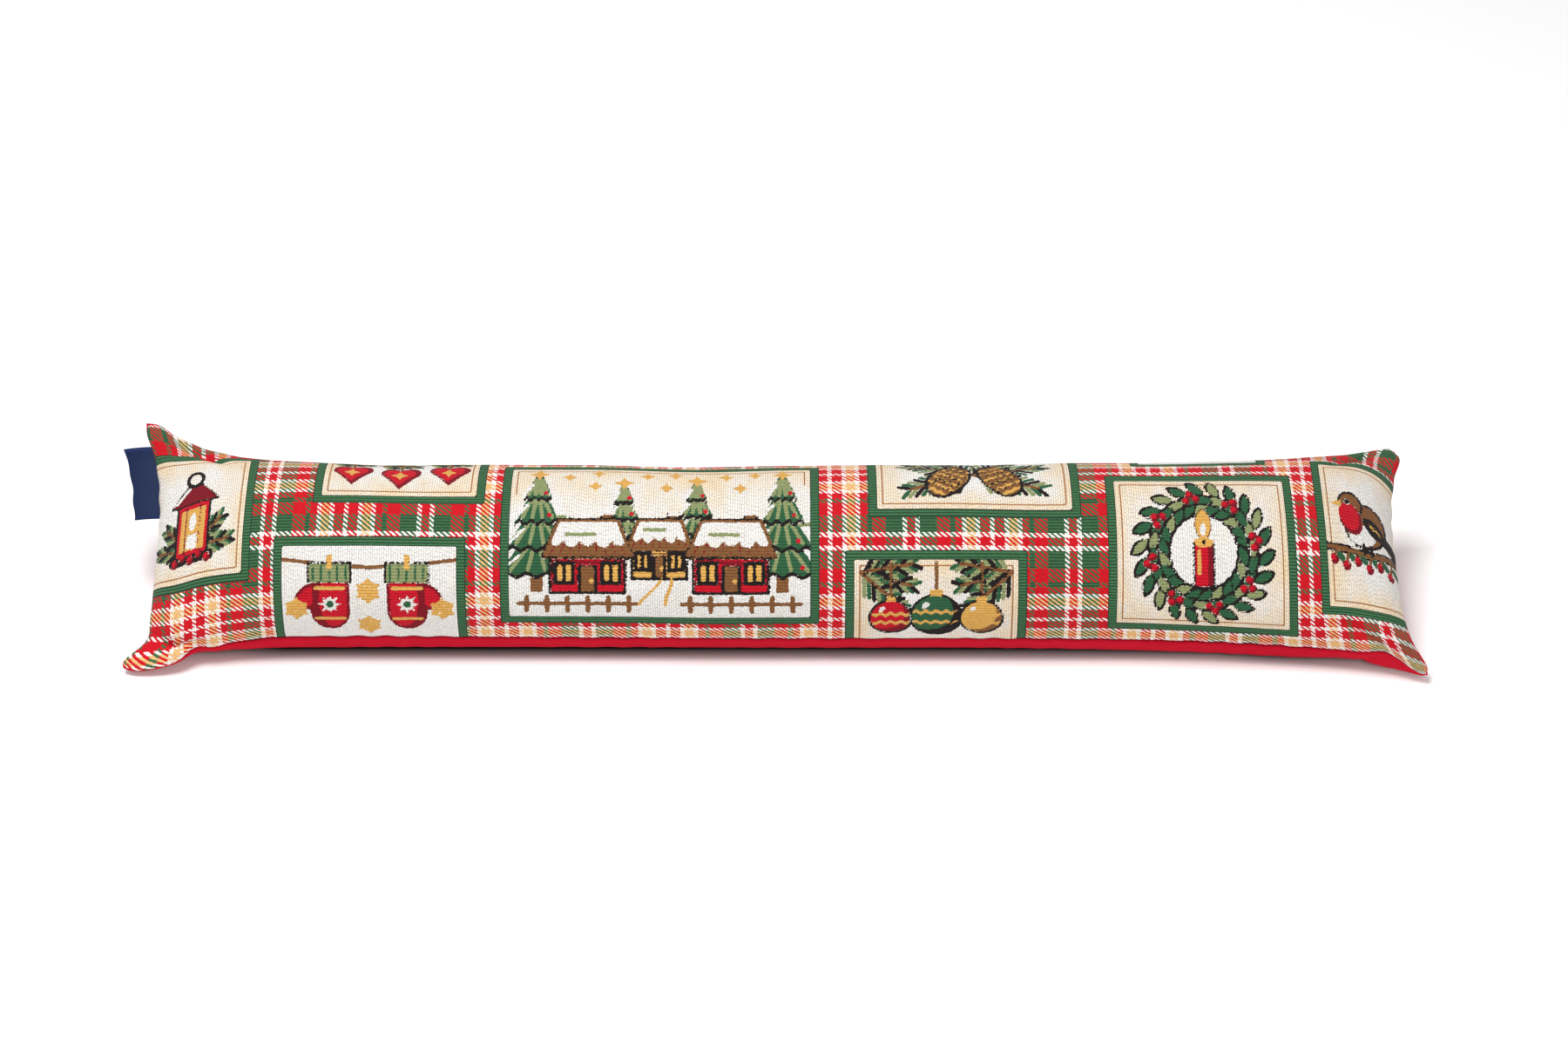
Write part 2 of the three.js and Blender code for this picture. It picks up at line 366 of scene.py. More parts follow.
def ear_reach(along, across):
    """How far the ears and pleats stand out from the plain sections, in millimetres."""
    from_end, from_side = seam_distance(along, across)
    end_here = np.sign(along - FLAT_LENGTH / 2)
    move = np.zeros((len(along), 3))
    for end, edge, depth, offset in EARS:
        here = (end_here == end) & (np.sign(across) == edge)
        weight = np.exp(-((np.hypot(from_end, from_side) / depth) ** EAR_NECK))
        move += np.outer(here * weight, offset)
    for end, inset, offset in PLEATS:
        here = (end_here == end) & (across < 0)
        gap = np.hypot(from_end - inset, from_side)
        move += np.outer(here * np.exp(-((gap / PLEAT_FADE) ** 2)), offset)
    return move


def set_places(mesh, places):
    """Moves all the vertices of a mesh."""
    mesh.vertices.foreach_set("co", places.astype(np.float32).ravel())
    mesh.update()


form = stuffed_form(cover_along, cover_across, cover_side)
form_middle = (form.min(0) + form.max(0)) / 2 * [1, 1, 0]
form += np.array([cushion_middle.x, cushion_middle.y, 0]) - form_middle
form += ear_reach(cover_along, cover_across) * MM
form[:, 2] = np.maximum(form[:, 2], 0)
set_places(cover.data, form)
print("over the form:", [round(float(c), 3) for c in form.max(0) - form.min(0)], "m")

# %% [markdown]
# ## Stuffing it
#
# Blender's cloth tightens over the form when the cover is given an inside pressure and no gravity.
# Its rest shape is the flat strip, so the cloth keeps the length and width it was cut to and puckers
# by itself where the seams are too short for it, near the ears. No point may move further than the
# cap, so the cushion keeps lying as it was set, and it stays on the floor.

# %% Run the cloth
SIM_FRAMES = 24
MOVE_CAP = 3 * MM
CLOTH = {
    "quality": 6,
    "mass": 0.3,
    "tension_stiffness": 40,
    "compression_stiffness": 40,
    "shear_stiffness": 20,
    "bending_stiffness": 0.05,
    "use_pressure": True,
    "uniform_pressure_force": 12,
}


def stuff(piece):
    """Simulates the stuffed cover and applies the result to its mesh."""
    before = get(piece.data.vertices, "co", 3)
    piece.shape_key_add(name="form")
    strip = piece.shape_key_add(name="flat strip")
    cut = flat * [FLAT_LENGTH / 2, FLAT_WIDTH / 2, 0]
    strip.data.foreach_set("co", (cut * MM).astype(np.float32).ravel())
    seam = piece.vertex_groups.new(name="seam")
    seam.add(np.nonzero(on_rim)[0].tolist(), 1.0, "REPLACE")
    cloth = piece.modifiers.new("stuffing", "CLOTH")
    for name, value in CLOTH.items():
        setattr(cloth.settings, name, value)
    cloth.settings.vertex_group_mass = "seam"
    cloth.settings.effector_weights.gravity = 0
    cloth.settings.rest_shape_key = strip
    for step in range(1, SIM_FRAMES + 1):
        scene.frame_set(step)
    settled = piece.evaluated_get(bpy.context.evaluated_depsgraph_get())
    move = get(settled.data.vertices, "co", 3) - before
    piece.modifiers.remove(cloth)
    piece.shape_key_clear()
    scene.frame_set(1)
    length = np.linalg.norm(move, axis=1, keepdims=True)
    after = before + move * np.minimum(1, MOVE_CAP / np.maximum(length, TINY))
    after[:, 2] = np.maximum(after[:, 2], 0)
    set_places(piece.data, after)
    print("stuffed: the cloth moved", round(float(length.mean() / MM), 2), "mm on average")


stuff(cover)

# %% [markdown]
# ## Two fine panels
#
# The cover is divided further, and the front and the back become two pieces, each with its own
# cloth. The front is fine enough for the woven motifs, which are kept on its vertices. Both panels
# dip into the seam, where the cloth turns in to the stitching, and each ear is pressed in where it
# folds away from the stuffing.

# %% Divide the cover
FRONT_LEVELS = 2
BACK_LEVELS = 1


def fine_panel(name, slot, levels):
    """One panel of the cover as a finer mesh, with each vertex's place on the flat cloth."""
    divide = cover.modifiers.new("divide", "SUBSURF")
    divide.levels = levels
    divide.render_levels = levels
    dense = cover.evaluated_get(bpy.context.evaluated_depsgraph_get())
    panel = bmesh.new()
    panel.from_mesh(dense.data)
    cover.modifiers.remove(divide)
    others = [face for face in panel.faces if face.material_index != slot]
    bmesh.ops.delete(panel, geom=others, context="FACES")
    for face in panel.faces:
        face.material_index = 0
    piece = add_piece(name, panel)
    places = np.empty((len(piece.data.vertices), 2))
    corners = [loop.vertex_index for loop in piece.data.loops]
    places[corners] = get(piece.data.uv_layers["cloth"].uv, "vector", 2) * FLAT_LENGTH
    return piece, places[:, 0], places[:, 1] / (FLAT_WIDTH / 2) - 1


front, along, across = fine_panel("tapestry_front", FRONT, FRONT_LEVELS)
back, back_along, back_across = fine_panel("back_cloth", BACK, BACK_LEVELS)
print("front", len(front.data.polygons), "faces, back", len(back.data.polygons), "faces")

# %% Folds at the ears
FOLD_HOLD = 12.0  # the seam holds the cloth this far in, or the thin ears would be pressed through
FOLD_COLUMNS = ("end", "inset", "across", "turn", "length", "width", "depth")
FRONT_FOLDS = [
    (-1, 27, -0.84, -24, 24, 5, 10),
    (-1, 40, 0.78, -38, 24, 5, 7),
    (1, 42, -0.80, -36, 22, 6, 5),
    (1, 34, 0.76, 42, 22, 6, 6),
]
BACK_FOLDS = [
    (-1, 36, -0.86, 62, 16, 4, 3),
    (1, 40, -0.88, -64, 14, 3, 3),
    (1, 22, -0.82, 10, 22, 12, -6),
]


def fold_depth(along, across, folds):
    """How deep the folds at the ears press the cloth in, in millimetres."""
    depth = np.zeros_like(along)
    from_end, from_side = seam_distance(along, across)
    held = 1 - np.exp(-((np.minimum(from_end, from_side) / FOLD_HOLD) ** 2))
    for row in folds:
        fold = dict(zip(FOLD_COLUMNS, row))
        here = np.sign(along - FLAT_LENGTH / 2) == fold["end"]
        dx = fold["end"] * (fold["inset"] - from_end)
        dy = (across - fold["across"]) * FLAT_WIDTH / 2
        turn = radians(fold["turn"])
        on_run = (dx * cos(turn) + dy * sin(turn)) / fold["length"]
        off_run = (dy * cos(turn) - dx * sin(turn)) / fold["width"]
        depth += here * fold["depth"] * np.exp(-(on_run**2)) / (1 + off_run**2) ** 1.5
    return depth * held


front_depth = fold_depth(along, across, FRONT_FOLDS)
back_depth = fold_depth(back_along, back_across, BACK_FOLDS)
print("folds up to", round(float(front_depth.max()), 1), "mm deep in the front")

# %% Filling
LUMP = 0.55  # height of one wave of lumps
# how strong each wave of lumps is, how long it is for one radian, its skew and its start
LUMP_WAVES = [(1, 31, 2.1, 0), (1, 53, -1.3, 1), (0.5, 17, 3, 2)]
SEAM_HOLD = 20.0  # the seam holds the cloth, so lumps fade out this far from it
BELLY = 2.6  # how far the back cloth bulges under the front seam
BELLY_PLACE = 12.0  # from the seam to the bulge
BELLY_WIDTH = 9.0
BELLY_END = 70.0  # the bulge stops this far from the ends


def lump_depth(along, across):
    """The slow unevenness of a filling that was pushed in by hand, in millimetres."""
    slow = 0
    for share, length, skew, start in LUMP_WAVES:
        slow += share * np.sin(along / length + skew * across + start)
    held = 1 - np.exp(-np.minimum(*seam_distance(along, across)) / SEAM_HOLD)
    return LUMP * slow * held


def belly_depth(along, across):
    """The back cloth bulges under the front seam; a bulge is a depth below zero."""
    from_end, from_side = seam_distance(along, across)
    inner = 1 - np.exp(-((from_end / BELLY_END) ** 4))
    bulge = np.exp(-(((from_side - BELLY_PLACE) / BELLY_WIDTH) ** 2))
    return np.where(across < 0, -BELLY * bulge * inner, 0)


front_depth += lump_depth(along, across)
back_depth += belly_depth(back_along, back_across)
print("the back bulges by up to", round(float(-back_depth.min()), 1), "mm")

# %% Seam
SEAM_DIP = 1.3  # how deep the front cloth turns in at the seam
BACK_DIP = 0.9
SEAM_DIP_WIDTH = 2.2
PUCKER = 0.5  # small waves that the stitching draws into the cloth beside the seam
PUCKER_WIDTH = 14.0
PUCKER_PITCH = 23.0
PUCKER_DRIFT = (1.7, 31.0)  # how uneven that pitch is, and over what length
PUCKER_SWELL = (47.0, 0.8)  # over what length the puckers come and go, and where they start


def seam_depth(along, across, dip):
    """The dip into the seam and the small puckers beside it."""
    from_end, from_side = seam_distance(along, across)
    rim = np.minimum(from_end, from_side)
    run = np.where(from_end < from_side, across * FLAT_WIDTH / 2, along)
    drift = PUCKER_DRIFT[0] * np.sin(run / PUCKER_DRIFT[1])
    swell = np.sin(run / PUCKER_SWELL[0] + PUCKER_SWELL[1])
    wave = np.sin(2 * pi * run / PUCKER_PITCH + drift) * swell
    return dip * np.exp(-rim / SEAM_DIP_WIDTH) + PUCKER * wave * np.exp(-rim / PUCKER_WIDTH)


def press(piece, depth):
    """Moves a panel's vertices in along their normals by a depth in millimetres."""
    normals = get(piece.data.vertices, "normal", 3)
    places = get(piece.data.vertices, "co", 3) - normals * depth[:, None] * MM
    places[:, 2] = np.maximum(places[:, 2], 0)
    set_places(piece.data, places)


press(front, front_depth + seam_depth(along, across, SEAM_DIP))
press(back, back_depth + seam_depth(back_along, back_across, BACK_DIP))
print("seam dips of", SEAM_DIP, "and", BACK_DIP, "mm")

# %% [markdown]
# ## The woven picture
#
# A jacquard loom lifts single threads, so a motif is a patch of one yarn colour with stepped edges.
# Drawing it as a bitmap would fix its fineness. Here each motif is a few shapes with a signed
# distance, which is negative inside the shape, and each yarn keeps one such distance on the front's
# vertices. The finish cuts it at zero, with a thread's worth of unevenness. A shape that is woven
# later covers what lies under it. Panels are measured in millimetres on the flat cloth, u from the
# left end seam and v from the front seam. A motif has a frame of its own, with its size as the unit,
# so that it can be woven small or large.

# %% Panels and motifs
YARNS = ("red", "wine", "green", "sage", "brown", "gold", "dark")
FAR = 60.0
PANEL_MARGIN = 2.0
BORDER_FADE = 30.0
u = along
v = (across + 1) * FLAT_WIDTH / 2
yarn = {name: np.full(len(u), FAR) for name in YARNS}
ecru = np.zeros(len(u))


class Panel:
    """One framed panel: the gap to it, the front's vertices in it, and the yarns woven there."""

    mm = 1.0  # one millimetre in this frame's unit

    def __init__(self, left, right, low, high, border=False):
        self.gap = np.maximum.reduce([left - u, u - right, low - v, v - high])
        self.pick = np.nonzero(self.gap < PANEL_MARGIN)[0]
        self.u = u[self.pick]
        self.v = v[self.pick]
        if border:
            self.tone(1.0 + self.gap[self.pick] / BORDER_FADE)

    def weave(self, name, shape):
        """Weaves a shape in one yarn, or bares the cream ground, over what is there already."""
        for other in YARNS:
            held = yarn[other][self.pick]
            covered = np.minimum(held, shape) if other == name else np.maximum(held, -shape)
            yarn[other][self.pick] = covered
        if name == "cream":
            ecru[self.pick] *= np.clip(shape + 0.5, 0, 1)

    def tone(self, share):
        """Sets how much ecru is mixed into the cream ground, from 0 to 1."""
        ecru[self.pick] = np.clip(share, 0, 1)

    def covered(self):
        """The share of the panel that is woven in motif yarns."""
        nearest = np.min([yarn[name][self.pick] for name in YARNS], axis=0)
        return round(float((nearest < 0).mean()), 2)


class Motif:
    """A motif's own frame in a panel: x, y is its origin, and its size is the unit."""

    def __init__(self, panel, x, y, size):
        self.panel = panel
        self.size = size
        self.mm = 1 / size
        self.u = (panel.u - x) / size
        self.v = (panel.v - y) / size

    def weave(self, name, shape):
        """Weaves a shape of this frame into the panel."""
        self.panel.weave(name, shape * self.size)


print(len(YARNS), "motif yarns on", len(u), "vertices")


# %% Shapes with a signed distance
def turned(p, x, y, turn=0.0):
    """Places in a frame that is moved to x, y and turned by an angle."""
    du = p.u - x
    dv = p.v - y
    return du * cos(turn) + dv * sin(turn), dv * cos(turn) - du * sin(turn)


def oval(p, x, y, long, wide, turn=0.0):
    """An ellipse with the given half axes."""
    a, b = turned(p, x, y, turn)
    return (np.hypot(a / long, b / wide) - 1) * min(long, wide)


def dot(p, x, y, radius):
    """A disc with a radius in millimetres."""
    return np.hypot(p.u - x, p.v - y) - radius * p.mm


def leaf(p, x, y, turn, length, width):
    """A leaf with two pointed ends that starts at x, y."""
    a, b = turned(p, x, y, turn)
    radius = ((length / 2) ** 2 + (width / 2) ** 2) / width
    return np.hypot(a - length / 2, np.abs(b) + radius - width / 2) - radius


def stroke(p, points, width):
    """A line with round ends and a width in millimetres."""
    gap = np.full(len(p.u), FAR * p.mm)
    for (x0, y0), (x1, y1) in zip(points, points[1:]):
        run = (x1 - x0) ** 2 + (y1 - y0) ** 2
        t = np.clip(((p.u - x0) * (x1 - x0) + (p.v - y0) * (y1 - y0)) / run, 0, 1)
        gap = np.minimum(gap, np.hypot(p.u - x0 - t * (x1 - x0), p.v - y0 - t * (y1 - y0)))
    return gap - width * p.mm / 2


def polygon(p, points):
    """A closed outline with straight sides."""
    gap = stroke(p, [*points, points[0]], 0)
    inside = np.zeros(len(p.u), bool)
    for (x0, y0), (x1, y1) in zip(points, [*points[1:], points[0]]):
        crosses = (p.v >= min(y0, y1)) & (p.v < max(y0, y1))
        if y0 != y1:
            inside ^= crosses & (p.u < x0 + (p.v - y0) * (x1 - x0) / (y1 - y0))
    return np.where(inside, -gap, gap)


def around(x, y, radius, turn):
    """A point on a circle."""
    return x + radius * cos(turn), y + radius * sin(turn)


def star(p, x, y, tips, outer, inner):
    """A star with straight sides and one tip up."""
    reach = (outer, inner)
    corners = range(2 * tips)
    return polygon(p, [around(x, y, reach[k % 2], pi / 2 + k * pi / tips) for k in corners])


def block(p, x, y, width, height):
    """An upright rectangle on the middle of its foot."""
    return np.maximum(np.abs(p.u - x) - width / 2, np.abs(p.v - y - height / 2) - height / 2)


print("shapes: oval, dot, leaf, stroke, polygon, star and block")

# %% [markdown]
# ## The layout
#
# The panels are staggered over the tartan, and some run into a seam, because the cloth is woven by
# the metre and cut where the cushion needs it. Small panels have an ecru border with a fine line.
# The largest is a winter village. Each motif is drawn where it is first needed.


# %% Lantern panel
def weave_twig(p, x, y, turn, length):
    """A fir twig with needles on both sides."""
    m = Motif(p, x, y, length)
    for k in range(9):
        root = around(0, 0, 0.08 + 0.1 * k, turn)
        for side in (-1, 1):
            needle = around(*root, 0.36 - 0.022 * k, turn + side * (0.85 - 0.04 * k))
            m.weave(("green", "dark", "sage")[(k + side) % 3], stroke(m, [root, needle], 2.3))
    m.weave("brown", stroke(m, [(0, 0), around(0, 0, 0.9, turn)], 2.0))


def weave_lantern(p, x, y, height):
    """A garden lantern with a lit pane, on a foot."""
    m = Motif(p, x, y, height)
    half = 0.21
    m.weave("dark", block(m, 0, 0, 2.5 * half, 0.09))
    m.weave("dark", block(m, 0, 0.06, 2 * half, 0.56))
    m.weave("red", block(m, 0, 0.08, 2 * half - 3 * m.mm, 0.53))
    m.weave("gold", block(m, 0, 0.13, 2 * half - 9 * m.mm, 0.42))
    m.weave("cream", leaf(m, 0, 0.3, pi / 2, 0.22, 0.1))
    m.weave("cream", block(m, 0, 0.14, 0.12, 0.15))
    for bar in (-0.42 * half, 0.42 * half):
        m.weave("wine", stroke(m, [(bar, 0.12), (bar, 0.57)], 2.0))
    eave = [(-1.35 * half, 0.62), (1.35 * half, 0.62)]
    roof = polygon(m, [*eave, (0.4 * half, 0.82), (-0.4 * half, 0.82)])
    m.weave("dark", roof - 0.8 * m.mm)
    m.weave("wine", roof)
    m.weave("cream", stroke(m, [(-1.1 * half, 0.62 + 3 * m.mm), (-0.3 * half, 0.8)], 3.0))
    m.weave("dark", np.abs(oval(m, 0, 0.91, 0.09, 0.09)) - 1.2 * m.mm)


LIT_RADIUS = 2.2


def weave_berry(p, x, y, radius, lit):
    """A wine berry with a lit red side; its radius and where that lies are in millimetres."""
    p.weave("wine", dot(p, x, y, radius))
    p.weave("red", dot(p, x + lit[0] * p.mm, y + lit[1] * p.mm, LIT_RADIUS))


lantern = Panel(-14, 80, 58, 156, border=True)
for turn in (0.15, 0.7, pi - 0.15, pi - 0.7):
    weave_twig(lantern, 38, 78, turn, 34)
weave_lantern(lantern, 38, 70, 70)
for k in range(5):
    weave_berry(lantern, 24 + 7 * k, 72 + 3 * (k % 2), 3.2, (-0.6, 0.7))
print("lantern: motifs cover", lantern.covered())


# %% Mitten panel
def weave_mitten(p, x, y, size, lean):
    """A knitted mitten that hangs from a peg by its cuff, with a star on its back."""
    m = Motif(p, x, y, size)
    thumb = leaf(m, lean * 0.12, -0.3, -pi / 2 + lean * 0.85, 0.46, 0.26)
    palm = np.minimum(block(m, 0, -0.66, 0.48, 0.46), oval(m, 0, -0.66, 0.24, 0.3))
    m.weave("wine", np.minimum(thumb, palm) - 1.6 * m.mm)
    m.weave("red", np.minimum(thumb, palm))
    m.weave("wine", np.maximum(palm, -oval(m, -lean * 0.1, -0.5, 0.26, 0.5)))
    m.weave("cream", star(m, 0, -0.56, 8, 0.19, 0.09))
    m.weave("green", dot(m, 0, -0.56, 2.4))
    for band in (-0.32, -0.8):
        m.weave("gold", stroke(m, [(-0.2, band), (0.2, band)], 1.9))
    m.weave("dark", block(m, 0, -0.25, 0.58 + 2 * m.mm, 0.25 + 1.5 * m.mm))
    m.weave("sage", block(m, 0, -0.24, 0.58, 0.25))
    for k in range(-2, 3):
        m.weave("green", stroke(m, [(0.115 * k, -0.21), (0.115 * k, -0.02)], 2.4))
    m.weave("gold", block(m, 0, -0.06, 3.4 * m.mm, 0.18))


def weave_snowflake(p, x, y, reach, name):
    """A six-armed snow crystal."""
    m = Motif(p, x, y, reach)
    for k in range(6):
        turn = pi / 6 + k * pi / 3
        m.weave(name, stroke(m, [(0, 0), around(0, 0, 1, turn)], 1.8))
        root = around(0, 0, 0.5, turn)
        for side in (-1, 1):
            m.weave(name, stroke(m, [root, around(*root, 0.36, turn + side * 0.9)], 1.7))


mittens = Panel(110, 232, -14, 74)
line = [(104, 66), (140, 62), (171, 60), (204, 62), (238, 66)]
mittens.weave("brown", stroke(mittens, line, 1.9))
weave_mitten(mittens, 144, 62, 50, -1)
weave_mitten(mittens, 198, 62, 50, 1)
for spot in ((171, 44), (120, 30), (222, 30), (171, 16)):
    weave_snowflake(mittens, *spot, 8, "gold")
print("mittens: motifs cover", mittens.covered())


# %% Heart panel
def heart(p, x, y, size):
    """A heart around x, y: two round lobes over a pointed body."""
    lobe = 0.27 * size
    high = y + 0.2 * size
    left, right = (oval(p, x + side * 0.24 * size, high, lobe, lobe) for side in (-1, 1))
    shoulder = 0.455 * size
    low = y + 0.06 * size
    middle = [(x, y + 0.25 * size), (x + shoulder, low), (x, y - 0.5 * size)]
    return np.minimum(np.minimum(left, right), polygon(p, [(x - shoulder, low), *middle]))


hearts = Panel(136, 244, 110, 204, border=True)
for k, spot in enumerate((156, 190, 224)):
    dip = 4 * (k == 1)
    weave_twig(hearts, spot - 17, 156 - dip, -0.1, 30)
    hearts.weave("brown", stroke(hearts, [(spot, 156), (spot, 140)], 1.8))
    hearts.weave("wine", heart(hearts, spot, 134 - dip, 27))
    hearts.weave("red", heart(hearts, spot - 0.8, 134.8 - dip, 22))
    hearts.weave("gold", star(hearts, spot - 0.8, 136 - dip, 4, 5.6, 2.4))
print("hearts: motifs cover", hearts.covered())


# %% Firs and cottages
def weave_fir(p, x, y, height):
    """A fir tree with four tiers, lit branches and snow."""
    m = Motif(p, x, y, height)
    m.weave("brown", block(m, 0, 0, 0.09, 0.2))
    for tier in range(4):
        low = 0.12 + 0.2 * tier
        half = 0.31 - 0.065 * tier
        top = (0, low + 0.4 - 0.02 * tier)
        teeth = np.linspace(-half, half, 9)
        hem = [(t, low + 0.04 * (k % 2)) for k, t in enumerate(teeth)]
        m.weave("dark", polygon(m, [top, *[(a, b - 1.8 * m.mm) for a, b in hem]]))
        m.weave("green", polygon(m, [top, *hem]))
        for t in teeth[1:-1:2]:
            m.weave("sage", stroke(m, [(0.3 * t, low + 0.22), (0.86 * t, low + 0.05)], 2.0))
        snow = [(-0.95 * half, low + 0.035), (-0.42 * half, low + 0.16)]
        m.weave("cream", stroke(m, snow, 2.6))
        m.weave("red", dot(m, 0.5 * half, low + 0.07, 1.9))
    m.weave("gold", star(m, 0, 1.02, 4, 7.0 * m.mm, 2.8 * m.mm))


def weave_cottage(p, x, y, width, height, wall, shade):
    """A cottage with lit windows and snow on its roof."""
    m = Motif(p, x, y, width)
    tall = height / width
    m.weave("dark", block(m, 0.26, 0.7 * tall, 0.15 + 2.6 * m.mm, 0.42 * tall + 1.3 * m.mm))
    m.weave("brown", block(m, 0.26, 0.7 * tall, 0.15, 0.42 * tall))
    m.weave("cream", block(m, 0.26, 1.08 * tall, 0.22, 0.1 * tall))
    m.weave("dark", block(m, 0, -1.4 * m.mm, 1 + 2.8 * m.mm, 0.58 * tall))
    m.weave(wall, block(m, 0, 0, 1, 0.56 * tall))
    for course in (0.13 * tall, 0.42 * tall):
        m.weave(shade, stroke(m, [(-0.5, course), (0.5, course)], 1.8))
    eave = 0.5 * tall
    roof = polygon(m, [(-0.6, eave), (0.6, eave), (0.4, tall), (-0.4, tall)])
    m.weave("dark", roof - 1.5 * m.mm)
    m.weave("brown", roof)
    for k in range(-4, 5):
        tile = [(0.13 * k, eave + m.mm), (0.11 * k, eave + 0.16 * tall)]
        m.weave("wine", stroke(m, tile, 1.7))
    bank = eave + 0.2 * tall
    m.weave("cream", np.maximum(roof - 0.6 * m.mm, bank - m.v))
    for k in range(-2, 3):
        m.weave("cream", oval(m, 0.22 * k, bank, 0.1, (2.6 + 1.2 * (k % 2)) * m.mm))
    m.weave("brown", np.abs(roof - 0.4 * m.mm) - m.mm)
    m.weave("sage", stroke(m, [(-0.3, bank + 5 * m.mm), (0.1, bank + 5 * m.mm)], 1.8))
    m.weave("dark", block(m, 0, -m.mm, 0.26, 0.4 * tall))
    m.weave("brown", block(m, 0, 0, 0.26 - 3.6 * m.mm, 0.37 * tall))
    m.weave("gold", dot(m, 0.05, 0.16 * tall, 1.4))
    for pane in (-0.32, 0.32):
        sill = 0.11 * tall
        m.weave("dark", block(m, pane, sill, 0.2 + 4 * m.mm, 0.24 * tall + 4 * m.mm))
        m.weave("gold", block(m, pane, sill + 2 * m.mm, 0.2, 0.24 * tall))
        m.weave("dark", stroke(m, [(pane, 0.15 * tall), (pane, 0.38 * tall)], 1.8))


village = Panel(268, 474, 24, 142)
hill = 84 + 9 * np.sin(village.u / 24 + 1) + 4 * np.sin(village.u / 11)
village.tone(0.1 + (village.v - hill) / 70)
village.weave("cream", village.v - hill)
village.weave("sage", np.abs(village.v - hill) - 1.0)
for place, tall in ((346, 62), (396, 66)):
    weave_fir(village, place, 60, tall)
weave_cottage(village, 371, 54, 36, 38, "gold", "brown")
for place in (287, 455):
    weave_fir(village, place, 44, 88)
for place in (322, 420):
    weave_cottage(village, place, 44, 50, 48, "red", "wine")
print("village with its houses: motifs cover", village.covered())

# %% Path, fence and stars of the village
PATH_PLACE = 371
path = np.abs(village.u - PATH_PLACE - 5 * np.sin(village.v / 7)) - (58 - village.v) * 0.3 - 2
village.weave("gold", np.maximum(np.abs(path) - 0.9, np.abs(village.v - 44) - 10))
for place in range(280, 470, 14):
    if abs(place - PATH_PLACE) > 16:
        village.weave("brown", stroke(village, [(place, 29), (place, 40)], 2.6))
for start, end in ((274, 356), (386, 468)):
    village.weave("brown", stroke(village, [(start, 35), (end, 35)], 2.1))
STARS = [(308, 130), (326, 120), (328, 135), (362, 132), (375, 119), (381, 134)]
for spot in [*STARS, (416, 132), (426, 119), (436, 134)]:
    village.weave("gold", star(village, *spot, 4, 5.2, 2.0))
print("village: motifs cover", village.covered())


# %% Bauble panel
def weave_bauble(p, x, y, radius, main, shade, top):
    """A glass bauble that hangs on a thread."""
    m = Motif(p, x, y, radius)
    m.weave("brown", stroke(m, [(0, 1), (0, (top - y) / radius)], 1.8))
    ball = oval(m, 0, 0, 1, 1)
    m.weave("dark", ball - 1.2 * m.mm)
    m.weave("gold", block(m, 0, 0.9, 0.5, 0.34))
    m.weave(main, ball)
    m.weave(shade, np.maximum(ball, -oval(m, -0.28, 0.22, 1, 1)))
    wave = np.abs(m.u % (7 * m.mm) - 3.5 * m.mm)
    for band in (0.24, -0.3):
        zigzag = np.abs(m.v - band - 0.8 * wave + 1.5 * m.mm) - 1.1 * m.mm
        m.weave("gold", np.maximum(ball + 0.8 * m.mm, zigzag))
    m.weave("cream", oval(m, -0.42, 0.56, 0.22, 0.14, 0.7))


BAUBLES = [(529, 14, "red", "wine"), (560, 17, "green", "dark"), (591, 14, "gold", "brown")]
baubles = Panel(504, 616, -14, 66, border=True)
for turn in (-0.25, -0.7, 0.15):
    weave_twig(baubles, 508, 58, turn, 40)
    weave_twig(baubles, 612, 58, pi - turn, 40)
for place, radius, main, shade in BAUBLES:
    weave_bauble(baubles, place, 18 + 0.4 * radius, radius, main, shade, 64)
print("baubles: motifs cover", baubles.covered())


# %% Cone panel
def weave_cone(p, x, y, length, turn):
    """A pine cone with rows of scales."""
    m = Motif(p, x, y, length)
    m.weave("dark", oval(m, 0, 0, 0.5 + 1.2 * m.mm, 0.31 + 1.2 * m.mm, turn))
    body = oval(m, 0, 0, 0.5, 0.31, turn)
    m.weave("brown", body)
    a, b = turned(m, 0, 0, turn)
    for row in range(6):
        for column in range(-2, 3):
            forward = a + 0.36 - 0.15 * row
            aside = b - (column + 0.5 * (row % 2)) * 0.15
            scale = np.hypot(forward, aside) - 0.085
            lip = np.hypot(forward - 2 * m.mm, aside) - 0.085
            m.weave("gold", np.maximum(np.maximum(scale, -lip), body))
            m.weave("dark", np.maximum(np.maximum(lip, -scale), body))


cones = Panel(520, 654, 100, 204, border=True)
for turn in (0.3, 0.9, -0.3, 2.2, 2.8, 3.5):
    weave_twig(cones, 587, 132, turn, 52)
weave_cone(cones, 570, 128, 40, 1.0)
weave_cone(cones, 605, 130, 40, 2.1)
print("cones: motifs cover", cones.covered())


# %% Wreath panel
def weave_wreath(p, x, y, radius):
    """A wreath of leaves with berries."""
    m = Motif(p, x, y, radius)
    m.weave("brown", np.abs(oval(m, 0, 0, 1, 1)) - 1.2 * m.mm)
    for ring, (place, tilt) in enumerate(((0.9, 0.7), (1.08, -0.7), (0.98, 0.1))):
        for k in range(22):
            turn = (k + ring / 3) * pi / 11
            root = around(0, 0, place, turn)
            lean = turn + pi / 2 + tilt
            m.weave("dark", leaf(m, *root, lean, 0.46, 0.23))
            m.weave(("green", "green", "sage")[(ring + k) % 3], leaf(m, *root, lean, 0.42, 0.17))
    for k in range(8):
        for berry in (-1, 0, 1):
            spot = around(0, 0, 1 + 0.12 * (berry == 0), k * pi / 4 + 0.2 + 0.1 * berry)
            weave_berry(m, *spot, 3.1, (-0.5, 0.6))


